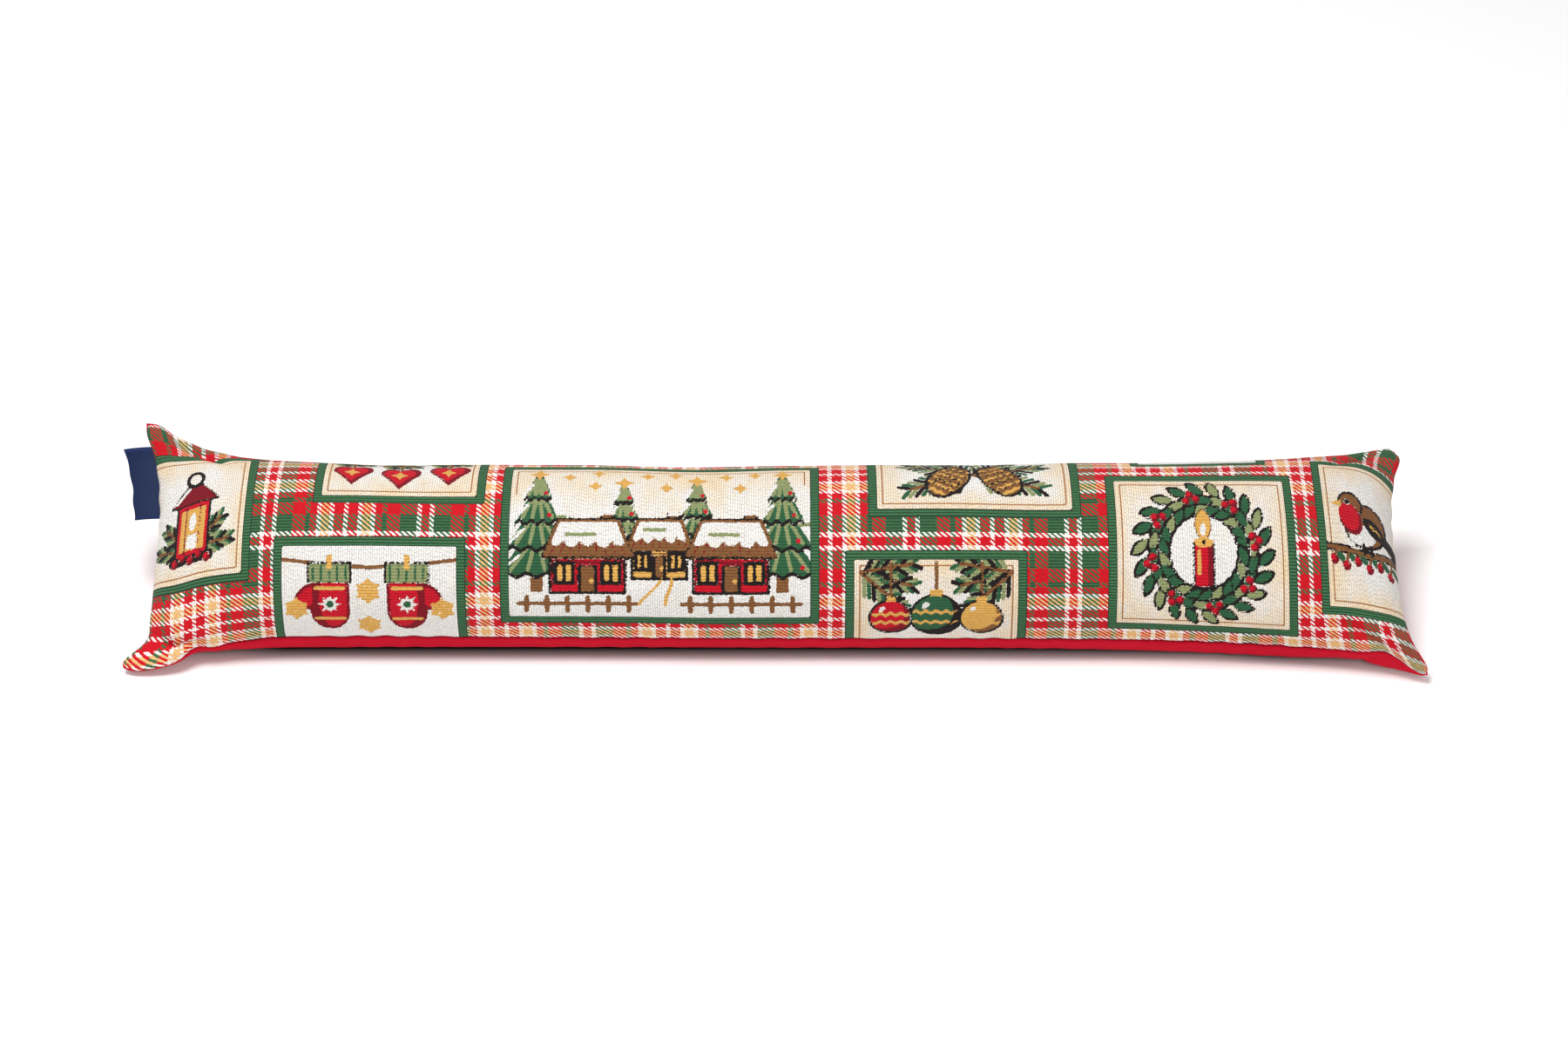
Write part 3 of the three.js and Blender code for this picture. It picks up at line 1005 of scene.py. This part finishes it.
def weave_candle(p, x, y, width, height):
    """A burning candle."""
    m = Motif(p, x, y, width)
    tall = height / width
    m.weave("dark", block(m, 0, -m.mm, 1 + 2 * m.mm, tall + m.mm))
    m.weave("wine", block(m, 0, 0, 1, tall))
    m.weave("red", block(m, -0.12, 0, 0.72, tall))
    m.weave("gold", stroke(m, [(-0.26, 0.3 * tall), (-0.26, 0.8 * tall)], 2.0))
    m.weave("gold", oval(m, 0, tall, 0.5, 2.8 * m.mm))
    m.weave("dark", stroke(m, [(0, tall), (0, tall + 4 * m.mm)], 1.8))
    foot = tall + 2 * m.mm
    m.weave("brown", leaf(m, 0, foot - m.mm, pi / 2, 1.5 + 2 * m.mm, 0.76 + 2 * m.mm))
    m.weave("gold", leaf(m, 0, foot, pi / 2, 1.5, 0.76))
    m.weave("cream", leaf(m, 0, foot + 1.5 * m.mm, pi / 2, 0.8, 0.36))


wreath = Panel(684, 804, 20, 124, border=True)
weave_wreath(wreath, 744, 72, 36)
weave_candle(wreath, 744, 50, 13, 28)
flakes = Panel(704, 788, 152, 204)
for k in range(4):
    weave_snowflake(flakes, 717 + 20 * k, 168 + 8 * (k % 2), 9, ("gold", "sage")[k % 2])
print("wreath and snow crystals: motifs cover", wreath.covered(), "and", flakes.covered())


# %% Robin panel
def weave_robin(p, x, y, size):
    """A robin on a branch with berries."""
    m = Motif(p, x, y, size)
    branch = [(-1.2, -0.52), (0, -0.62), (1.1, -0.42)]
    m.weave("dark", stroke(m, branch, 5.2))
    m.weave("brown", stroke(m, branch, 3.4))
    for k in range(6):
        spot = (-0.9 + 0.3 * k, -0.78 - 0.1 * (k % 2))
        stalk = spot[0] + 2 * m.mm
        m.weave("brown", stroke(m, [spot, (stalk, -0.6)], 1.7))
        m.weave("green", leaf(m, stalk, -0.62, -pi / 2 + 0.8, 0.3, 0.13))
        weave_berry(m, *spot, 3.2, (-0.5, 0.7))
    m.weave("dark", leaf(m, 0.25, -0.05, -0.35, 0.95, 0.26))
    edge = 1.2 * m.mm
    m.weave("dark", oval(m, 0, 0, 0.56 + edge, 0.44 + edge, 0.35))
    m.weave("brown", oval(m, 0, 0, 0.56, 0.44, 0.35))
    m.weave("cream", oval(m, -0.1, -0.22, 0.38, 0.22, 0.2))
    m.weave("dark", oval(m, -0.38, 0.4, 0.28 + edge, 0.27 + edge))
    m.weave("brown", oval(m, -0.38, 0.4, 0.28, 0.27))
    m.weave("wine", oval(m, -0.39, 0.1, 0.29, 0.34, 0.4))
    m.weave("red", oval(m, -0.42, 0.14, 0.25, 0.31, 0.4))
    m.weave("dark", leaf(m, -0.08, 0.14, -0.45, 0.7, 0.34))
    for k in range(3):
        vane = (0.02 + 0.1 * k, 0.1 - 0.02 * k)
        m.weave("gold", stroke(m, [vane, around(*vane, 0.26, -0.6)], 1.7))
    m.weave("gold", polygon(m, [(-0.62, 0.48), (-0.62, 0.32), (-0.86, 0.38)]))
    m.weave("cream", dot(m, -0.46, 0.46, 2.6))
    m.weave("dark", dot(m, -0.46, 0.46, 1.7))
    for foot in (-0.1, 0.1):
        m.weave("dark", stroke(m, [(foot, -0.4), (foot, -0.58)], 1.8))


robin = Panel(834, 914, 40, 146, border=True)
weave_robin(robin, 868, 96, 32)
print("robin: motifs cover", robin.covered())

# %% Distance to the nearest panel
panels = [lantern, mittens, hearts, village, baubles, cones, wreath, flakes, robin]
frame_gap = np.minimum.reduce([panel.gap for panel in panels])
print(len(panels), "panels take up", round(float((frame_gap < 0).mean()), 2), "of the front")

# %% [markdown]
# ## Closing the cushion
#
# The stuffing fills the cushion down to its back cloth, so the front piece gets an underside: a copy
# of the back panel's middle, a little further in, joined to the front's rim. The seam edge is marked
# sharp, so that each cloth keeps its own shading up to the stitches.

# %% Close the front underneath
UNDERSIDE_INSET = 1.6
UNDERSIDE_MARGIN = 26.0  # the underside starts this far in from the seam
RING_INSET = 5.0  # the ring that is joined to the rim lies deeper, so the join stays under the back
RING_WIDTH = 12.0


def close_underneath(piece, underside):
    """Joins an underside to the rim of a panel, so that the two are one closed body."""
    body = bmesh.new()
    body.from_mesh(piece.data)
    rim = [edge for edge in body.edges if edge.is_boundary]
    kept = len(body.faces)
    body.from_mesh(underside.data)
    body.faces.ensure_lookup_table()
    uv = body.loops.layers.uv["cloth"]
    near_seam = []
    for face in body.faces[kept:]:
        place = sum((loop[uv].uv for loop in face.loops), Vector((0, 0))) / len(face.loops)
        across = 2 * place.y * FLAT_LENGTH / FLAT_WIDTH - 1
        if min(seam_distance(place.x * FLAT_LENGTH, across)) < UNDERSIDE_MARGIN:
            near_seam.append(face)
    bmesh.ops.delete(body, geom=near_seam, context="FACES")
    open_edges = [edge for edge in body.edges if edge.is_boundary]
    bmesh.ops.bridge_loops(body, edges=open_edges)
    for edge in rim:
        edge.smooth = False
    body.to_mesh(piece.data)
    body.free()
    piece.data.polygons.foreach_set("use_smooth", [True] * len(piece.data.polygons))


underside, under_along, under_across = fine_panel("underside", BACK, BACK_LEVELS)
under_rim = np.minimum(*seam_distance(under_along, under_across))
at_ring = np.exp(-(((under_rim - UNDERSIDE_MARGIN) / RING_WIDTH) ** 2))
press(underside, UNDERSIDE_INSET + RING_INSET * at_ring)
close_underneath(front, underside)
bpy.data.objects.remove(underside)
bpy.data.objects.remove(cover)
print("front piece:", len(front.data.polygons), "faces with its underside")

# %% Keep the yarns on the vertices
woven_values = {**yarn, "frame_gap": frame_gap, "ecru": ecru}
woven_values["seam_gap"] = np.minimum(*seam_distance(along, across))
for name, values in woven_values.items():
    store = front.data.attributes.new(name, "FLOAT", "POINT")
    filled = np.full(len(front.data.vertices), FAR, np.float32)
    filled[: len(values)] = np.clip(values, -FAR, FAR)
    store.data.foreach_set("value", filled)
print("kept on the vertices:", *woven_values)

# %% [markdown]
# ## The tag
#
# The tag is a short piece of ribbon folded in half, with both ends caught in the left end seam. It
# is mapped from a flat grid: out along the upper layer, round the fold and back along the lower one.
# It follows the seam's curve and droops a little. It is left bare.

# %% Fold the ribbon
TAG_CELLS = (64, 24)
TAG_REACH = (18.0, 20.0)  # at the tag's front edge and at its back edge
TAG_ROOT = 1.0  # how far the ends go into the seam
TAG_BEND = 0.55  # radius of the fold

ribbon = bmesh.new()
ribbon_uv = ribbon.loops.layers.uv.new("cloth")
bmesh.ops.create_grid(ribbon, x_segments=TAG_CELLS[0], y_segments=TAG_CELLS[1], size=1)
for face in ribbon.faces:
    for loop in face.loops:
        loop[ribbon_uv].uv = ((loop.vert.co.x + 1) / 2, (loop.vert.co.y + 1) / 2)
tag = add_piece("side_tag_ribbon", ribbon)
grid = get(tag.data.vertices, "co", 3)
share = (grid[:, 1] + 1) / 2
reach = TAG_REACH[0] + (TAG_REACH[1] - TAG_REACH[0]) * share + TAG_ROOT
arc = pi * TAG_BEND / 2
run = grid[:, 0] * (reach + arc)
turn = np.clip(run, -arc, arc) / TAG_BEND
in_bend = np.abs(run) < arc
out = reach - TAG_ROOT + np.where(in_bend, TAG_BEND * np.cos(turn), arc - np.abs(run))
rise = -TAG_BEND * np.sin(turn)
print("folded ribbon reaches", round(float(out.max()), 1), "mm out")

# %% Sew it into the end seam
TAG_FROM, TAG_TO = 0.22, 0.77  # where the tag starts and ends across the cloth
TAG_DROOP = 3.0
TAG_WAVE = (0.5, 5.0)  # height of the ribbon's slow wave, and its turn in radians over the width
TAG_RIBBON = 0.5
END_ROW = 0.5  # vertices nearer to the end than this are in its seam

end_rows = np.nonzero(along < END_ROW)[0]
end_rows = end_rows[np.argsort(across[end_rows])]
seam = get(front.data.vertices, "co", 3)[end_rows]
at = TAG_FROM + (TAG_TO - TAG_FROM) * share
root = np.stack([np.interp(at, across[end_rows], seam[:, c]) for c in range(3)], 1)
run_along_seam = Vector(seam[-1] - seam[0]).normalized()
upward = Vector((-1, 0, 0)).cross(run_along_seam).normalized()
if upward.z < 0:
    upward = -upward
outer = np.maximum(out, 0) / max(TAG_REACH)
lift = rise - TAG_DROOP * outer**2 + TAG_WAVE[0] * np.sin(share * TAG_WAVE[1]) * outer
places = root + np.outer(lift, upward) * MM - np.outer(out, (1, 0, 0)) * MM
set_places(tag.data, places)


def thicken(piece, thickness, offset):
    """Gives a cloth its thickness, in millimetres: offset 0 is to both sides, and -1 is inwards."""
    solid = piece.modifiers.new("thickness", "SOLIDIFY")
    solid.thickness = thickness * MM
    solid.offset = offset


thicken(tag, TAG_RIBBON, 0)
print("tag", [round(float(c) / MM, 1) for c in places.max(0) - places.min(0)], "mm")

# %% [markdown]
# ## The tapestry finish
#
# The tartan is a real twill: the warp has one run of stripe colours and the weft another, and where
# they cross, the diagonal of the weave shows both in turn. So crossings of two colours are hatched,
# and a colour that meets itself is solid. Cream panels are short upright floats, like rice grains,
# and the green frames and the motifs are ribbed. An image of the cloth would fix its fineness, so
# the weave is computed from each point's place on the flat cloth. The twill has its real size. The
# ribs are about 1.7 mm apart on the real cloth and the grains about 1.4 mm. They are drawn at 2.1 mm
# and 1.6 mm, so that a picture of the whole cushion can still resolve them.

# %% Threads
CELL = (1.2, 0.8)  # one crossing of threads, along the cloth and across it
JITTER = 0.3  # how far a crossing can shift the edge of a motif
STRIPE_JITTER = 0.4  # the share of that which shifts the stripes and the grains


def flat_places(node):
    """Places on the flat cloth in millimetres."""
    on_cloth = node("UVMap", uv_map="cloth")
    return node("VectorMath", {0: on_cloth, "Scale": FLAT_LENGTH}, operation="SCALE")


# matt woven yarn: it shows no shine, only its twill, grains and ribs
node = new_material(front, "jacquard tapestry")
cloth = flat_places(node)
cloth_v = node("SeparateXYZ", [cloth], 1)
cloth_u = cloth_v.node.outputs[0]
cell = node("VectorMath", [cloth, (1 / CELL[0], 1 / CELL[1], 1)], operation="MULTIPLY")
cell_corner = node("VectorMath", [cell], operation="FLOOR")
chance = node("TexWhiteNoise", [cell_corner], noise_dimensions="2D")
jitter = node("MapRange", {0: chance, 3: -JITTER, 4: JITTER})
thread_u, thread_v = (
    node("Math", [jitter, STRIPE_JITTER, place], operation="MULTIPLY_ADD")
    for place in (cloth_u, cloth_v)
)
print("threads cross every", CELL, "mm")

# %% Tartan
GREEN, RED, WHITE, GOLD = "#3B6743", "#C8101F", "#EDE8E3", "#E4B478"
# one half of the tartan's run of stripes, in millimetres; the other half is its mirror image
HALF_SETT = [
    (RED, 3), (WHITE, 3), (GREEN, 11.5), (RED, 9), (GREEN, 3.5), (RED, 5), (WHITE, 3),
    (GOLD, 6), (WHITE, 3), (RED, 7), (WHITE, 1.5),
]
SETT = 2 * sum(width for _, width in HALF_SETT)
SETT_START = (0.11, 0.30)  # where the runs start, along the cloth and across it
TWILL = (4.1, 3.3)  # from one diagonal to the next, along the cloth and across it

# the green stripes are marked in the ramps' alpha
stripes = []
for place, start in zip((thread_u, thread_v), SETT_START):
    turns = node("Math", [place, 1 / SETT, start], operation="MULTIPLY_ADD")
    repeat = node("Math", [turns], operation="FRACT")
    ramp = node("ValToRGB", [repeat]).node
    ramp.color_ramp.interpolation = "CONSTANT"
    stops = ramp.color_ramp.elements
    reached = 0.0
    for index, (colour, width) in enumerate(HALF_SETT + HALF_SETT[::-1]):
        stop = stops[index] if index < 2 else stops.new(reached / SETT)
        stop.position = reached / SETT
        stop.color = linear(colour)[:3] + [1.0 if colour == GREEN else 0.0]
        reached += width
    stripes.append(ramp.outputs)
warp, weft = stripes
# the twill's diagonal takes turns between the two
up_twill = node("Math", [thread_v, 1 / TWILL[1]], operation="MULTIPLY")
hatch = node("Math", [thread_u, 1 / TWILL[0], up_twill], operation="MULTIPLY_ADD")
hatch_turn = node("Math", [hatch], operation="FRACT")
on_top = node("Math", [hatch_turn, 0.5], operation="LESS_THAN")
plaid = node("Mix", {0: on_top, 6: weft[0], 7: warp[0]}, 2, data_type="RGBA")
print("tartan: sett of", SETT, "mm, twill of", TWILL, "mm")

# %% Ribs and frames
RIB = 2.1
RIB_GAP = 0.4  # the dark share of a rib
FRAME_GREEN, RIB_GREEN, EDGE_GREEN = "#3D6945", "#24432D", "#20302A"
PANEL_FRAME = 6.2
EDGE_THREAD = 0.6

rib = node("Math", [cloth_v, 1 / RIB], operation="MULTIPLY")
rib_turn = node("Math", [rib], operation="FRACT")
in_rib = node("Math", [rib_turn, RIB_GAP], operation="LESS_THAN")
# the solid green squares of the tartan are ribbed too
both_green = node("Math", [warp[1], weft[1]], operation="MULTIPLY")
green_rib = node("Math", [both_green, in_rib], operation="MULTIPLY")
rib_green = linear(RIB_GREEN)
tartan = node("Mix", {0: green_rib, 6: plaid, 7: rib_green}, 2, data_type="RGBA")
# a dark thread runs along both edges of a frame
frame_place = node("Attribute", out="Fac", attribute_name="frame_gap")
in_frame = node("Math", [frame_place, PANEL_FRAME], operation="LESS_THAN")
in_panel = node("Math", [frame_place, 0.0], operation="LESS_THAN")
ribbed = node("Mix", {0: in_rib, 6: linear(FRAME_GREEN), 7: rib_green}, 2, data_type="RGBA")
off_line = node("Math", [frame_place, PANEL_FRAME / 2], operation="SUBTRACT")
line_gap = node("Math", [off_line], operation="ABSOLUTE")
at_edge = node("Math", [line_gap, PANEL_FRAME / 2 - EDGE_THREAD], operation="GREATER_THAN")
framed = node("Mix", {0: at_edge, 6: ribbed, 7: linear(EDGE_GREEN)}, 2, data_type="RGBA")
with_frames = node("Mix", {0: in_frame, 6: tartan, 7: framed}, 2, data_type="RGBA")
print("frames of", PANEL_FRAME, "mm with ribs of", RIB, "mm")

# %% Panel ground
CREAM = "#E6E2DD"
ECRU = "#E6CFAD"
LINE_BROWN = "#A87448"
BORDER_LINE = 3.8  # from the panel's edge to the fine line
LINE_WIDTH = 0.5
BORDER_ECRU = 0.55  # a panel with more ecru than this at its edge has a border
MOTTLE = (16, 26)  # size of the ecru patches, along the cloth and across it
MOTTLE_SHARE = (-0.42, 0.12)  # ecru that they take away or add
NOISE_RANGE = (0.35, 0.65)  # most of the noise lies between these
CROSSING_SHARE = 0.3  # how much the ecru differs from one crossing of threads to the next

ecru_share = node("Attribute", out="Fac", attribute_name="ecru")
patch_place = node("VectorMath", [cloth, (1 / MOTTLE[0], 1 / MOTTLE[1], 1)], operation="MULTIPLY")
patches = node("TexNoise", {"Vector": patch_place, "Scale": 1.0, "Detail": 3.0}, "Fac")
patch_share = node("MapRange", [patches, *NOISE_RANGE, *MOTTLE_SHARE])
ecru_patch = node("Math", [ecru_share, patch_share], operation="ADD")
ecru_mix = node("Math", [chance, CROSSING_SHARE, ecru_patch], operation="MULTIPLY_ADD")
ecru_here = node("Math", [ecru_mix, CROSSING_SHARE / 2], operation="SUBTRACT", use_clamp=True)
ground = node("Mix", {0: ecru_here, 6: linear(CREAM), 7: linear(ECRU)}, 2, data_type="RGBA")
# the fine brown line inside the edge of the panels with an ecru border
near_line = node("Math", [frame_place, -BORDER_LINE, LINE_WIDTH], operation="COMPARE")
has_border = node("Math", [ecru_share, BORDER_ECRU], operation="GREATER_THAN")
on_line = node("Math", [near_line, has_border], operation="MULTIPLY")
picture = node("Mix", {0: on_line, 6: ground, 7: linear(LINE_BROWN)}, 2, data_type="RGBA")
print("cream ground with ecru patches of", MOTTLE, "mm")

# %% Motif yarns
YARN_HEX = {
    "red": "#BE1024",
    "wine": "#7A0E1D",
    "green": "#2C593B",
    "sage": "#868F62",
    "brown": "#7C5230",
    "gold": "#D3A152",
    "dark": "#1E1817",
}
OVERLAP = 0.35  # each patch of yarn reaches this far over its edge, so no ground shows between two

motif = 0.0
for name in YARNS:
    gap = node("Attribute", out="Fac", attribute_name=name)
    rough_gap = node("Math", [gap, jitter], operation="ADD")
    inside = node("Math", [rough_gap, OVERLAP], operation="LESS_THAN")
    picture = node("Mix", {0: inside, 6: picture, 7: linear(YARN_HEX[name])}, 2, data_type="RGBA")
    motif = node("Math", [motif, inside], operation="MAXIMUM")
woven = node("Mix", {0: in_panel, 6: with_frames, 7: picture}, 2, data_type="RGBA")
print(len(YARN_HEX), "yarn colours over the ground")

# %% Grains and shading
GRAIN = (1.6, 3.0)  # from one row of grains to the next, and the length of a grain
GRAIN_GAP = 0.28
GAP_SHADE = 0.15  # how much darker the gaps between grains and between ribs are
CROSSING_SHADE = (0.84, 1.06)  # each crossing of threads is a little lighter or darker
SEAM_SHADE = (2.2, 0.45)  # how wide the cloth darkens at the seam, and its shade there

# the rows of grains run up the cloth, and each starts at a place of its own
row = node("Math", [thread_u, 1 / GRAIN[0]], operation="MULTIPLY")
row_number = node("Math", [row], operation="FLOOR")
row_chance = node("TexWhiteNoise", {"W": row_number}, noise_dimensions="1D")
row_start = node("Math", [row_chance, GRAIN[1], thread_v], operation="MULTIPLY_ADD")
grain_place = node("CombineXYZ", [row_start, thread_u])
grains = {"Vector": grain_place, "Scale": 1.0, "Brick Width": GRAIN[1], "Row Height": GRAIN[0]}
grains.update({"Mortar Size": GRAIN_GAP, "Mortar Smooth": 1.0})
grain = node("TexBrick", grains, "Fac", offset=0.0)
panel_gap = node("Mix", {0: motif, 2: grain, 3: in_rib})
gap_shade = node("Math", [panel_gap, in_panel], operation="MULTIPLY")
crossing = node("MapRange", {0: chance, 3: CROSSING_SHADE[0], 4: CROSSING_SHADE[1]})
thread_shade = node("Math", [gap_shade, -GAP_SHADE, crossing], operation="MULTIPLY_ADD")
seam_place = node("Attribute", out="Fac", attribute_name="seam_gap")
seam_shade = node("MapRange", [seam_place, 0.0, *SEAM_SHADE, 1.0])
shade = node("Math", [thread_shade, seam_shade], operation="MULTIPLY")
shaded = node("VectorMath", {0: woven, "Scale": shade}, operation="SCALE")
print("grains of", GRAIN, "mm")

# %% Thread relief
THREAD_HEIGHT = 0.45
YARN_FINISH = {"Roughness": 0.9, "Sheen Weight": 0.04, "Specular IOR Level": 0.15}


def arches(node, turns):
    """A row of round threads: each whole turn rises and falls once, from 0 to 1."""
    part = node("Math", [turns], operation="FRACT")
    angle = node("Math", [part, pi], operation="MULTIPLY")
    return node("Math", [angle], operation="SINE")


# grains in the panels, ribs in the frames and motifs, and two threads to each turn of the twill
grain_height = node("Math", [1.0, grain], operation="SUBTRACT")
rib_height = arches(node, rib)
hatch_height = arches(node, node("Math", [hatch, 2.0], operation="MULTIPLY"))
panel_height = node("Mix", {0: motif, 2: grain_height, 3: rib_height})
ground_height = node("Mix", {0: in_frame, 2: hatch_height, 3: rib_height})
height = node("Mix", {0: in_panel, 2: ground_height, 3: panel_height})
relief = node("Bump", {"Height": height, "Distance": THREAD_HEIGHT * MM, "Strength": 0.8})
yarns = node("BsdfPrincipled", {"Base Color": shaded, "Normal": relief, **YARN_FINISH})
node("OutputMaterial", {"Surface": yarns})
print("threads stand", THREAD_HEIGHT, "mm high")

# %% [markdown]
# ## The back cloth and the ribbon
#
# The back is a plain weave in one red, with threads that vary in strength, so it looks smoother than
# the tapestry. Its threads are drawn about twice as coarse as real ones, so that they can be seen.
# The tag is satin ribbon: a closer, shinier weave with a firm edge on both sides.

# %% Back cloth material
COTTON_THREAD = 1.1
COTTON_RED = ("#A20C21", "#CC132D")
COTTON_THICKNESS = 1.0
COTTON_HEIGHT = 0.25  # of its threads
COTTON_FINISH = {"Roughness": 0.85, "Sheen Weight": 0.01, "Specular IOR Level": 0.08}
CHECK_SHARE = 0.25  # how much of the tone comes from the crossing of the threads
SLUBS = (0.03, 0.9, 1)  # thicker places in the threads, for each millimetre along and across

# plain cotton: matt and even, with a faint run of thicker threads
node = new_material(back, "red cotton")
cloth = flat_places(node)
crossings = node("VectorMath", {0: cloth, "Scale": 1 / COTTON_THREAD}, operation="SCALE")
check = node("TexChecker", {0: crossings, "Scale": 1.0}, "Fac")
slub_place = node("VectorMath", [cloth, SLUBS], operation="MULTIPLY")
slub = node("TexNoise", {"Vector": slub_place, "Scale": 1.0, "Detail": 3.0}, "Fac")
tone = node("Math", [check, CHECK_SHARE, slub], operation="MULTIPLY_ADD")
reds = {0: tone, 6: linear(COTTON_RED[0]), 7: linear(COTTON_RED[1])}
red = node("Mix", reds, 2, data_type="RGBA")
relief = node("Bump", {"Height": tone, "Distance": COTTON_HEIGHT * MM, "Strength": 0.6})
cotton = node("BsdfPrincipled", {"Base Color": red, "Normal": relief, **COTTON_FINISH})
node("OutputMaterial", {"Surface": cotton})
thicken(back, COTTON_THICKNESS, -1)
print("back cloth: plain weave of", COTTON_THREAD, "mm")

# %% Ribbon material
RIBBON_RIBS = 44.0
RIBBON_EDGE = 0.47  # the firm edges start at this share of the width from its middle
RIBBON_BLUE = ("#0A1530", "#13244A")
EDGE_BLUE = "#182A55"
RIBBON_HEIGHT = 0.12  # of its ribs
RIBBON_FINISH = {"Roughness": 0.55, "Specular IOR Level": 0.12}

# satin ribbon: a soft shine over close ribs, and firm edges
node = new_material(tag, "navy satin ribbon")
on_ribbon = node("UVMap", uv_map="cloth")
ribbon_split = node("SeparateXYZ", [on_ribbon]).node.outputs
rib_count = node("Math", [ribbon_split[0], RIBBON_RIBS], operation="MULTIPLY")
ribs = arches(node, rib_count)
off_middle = node("Math", [ribbon_split[1], 0.5], operation="SUBTRACT")
edge_place = node("Math", [off_middle], operation="ABSOLUTE")
firm_edge = node("Math", [edge_place, RIBBON_EDGE], operation="GREATER_THAN")
blues = {0: ribs, 6: linear(RIBBON_BLUE[0]), 7: linear(RIBBON_BLUE[1])}
body_blue = node("Mix", blues, 2, data_type="RGBA")
navy = node("Mix", {0: firm_edge, 6: body_blue, 7: linear(EDGE_BLUE)}, 2, data_type="RGBA")
relief = node("Bump", {"Height": ribs, "Distance": RIBBON_HEIGHT * MM, "Strength": 0.5})
satin = node("BsdfPrincipled", {"Base Color": navy, "Normal": relief, **RIBBON_FINISH})
node("OutputMaterial", {"Surface": satin})
print("ribbon: bare navy satin with", RIBBON_RIBS, "ribs")

# %% [markdown]
# ## Attaching the pieces
#
# Each piece stands for one solid of the imported model and rides on its only body.

# %% Attach the pieces
for piece, solid, finish_slot in (
    (front, "tapestry_cushion", "tapestry"),
    (back, "back_panel", "back_cloth"),
    (tag, "side_tag", "tag_ribbon"),
):
    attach(piece, "root")
    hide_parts(solid)

visual = []
for piece in (front, back, tag):
    shown = piece.evaluated_get(bpy.context.evaluated_depsgraph_get())
    visual.append(get(shown.data.vertices, "co", 3))
visual = np.concatenate(visual)
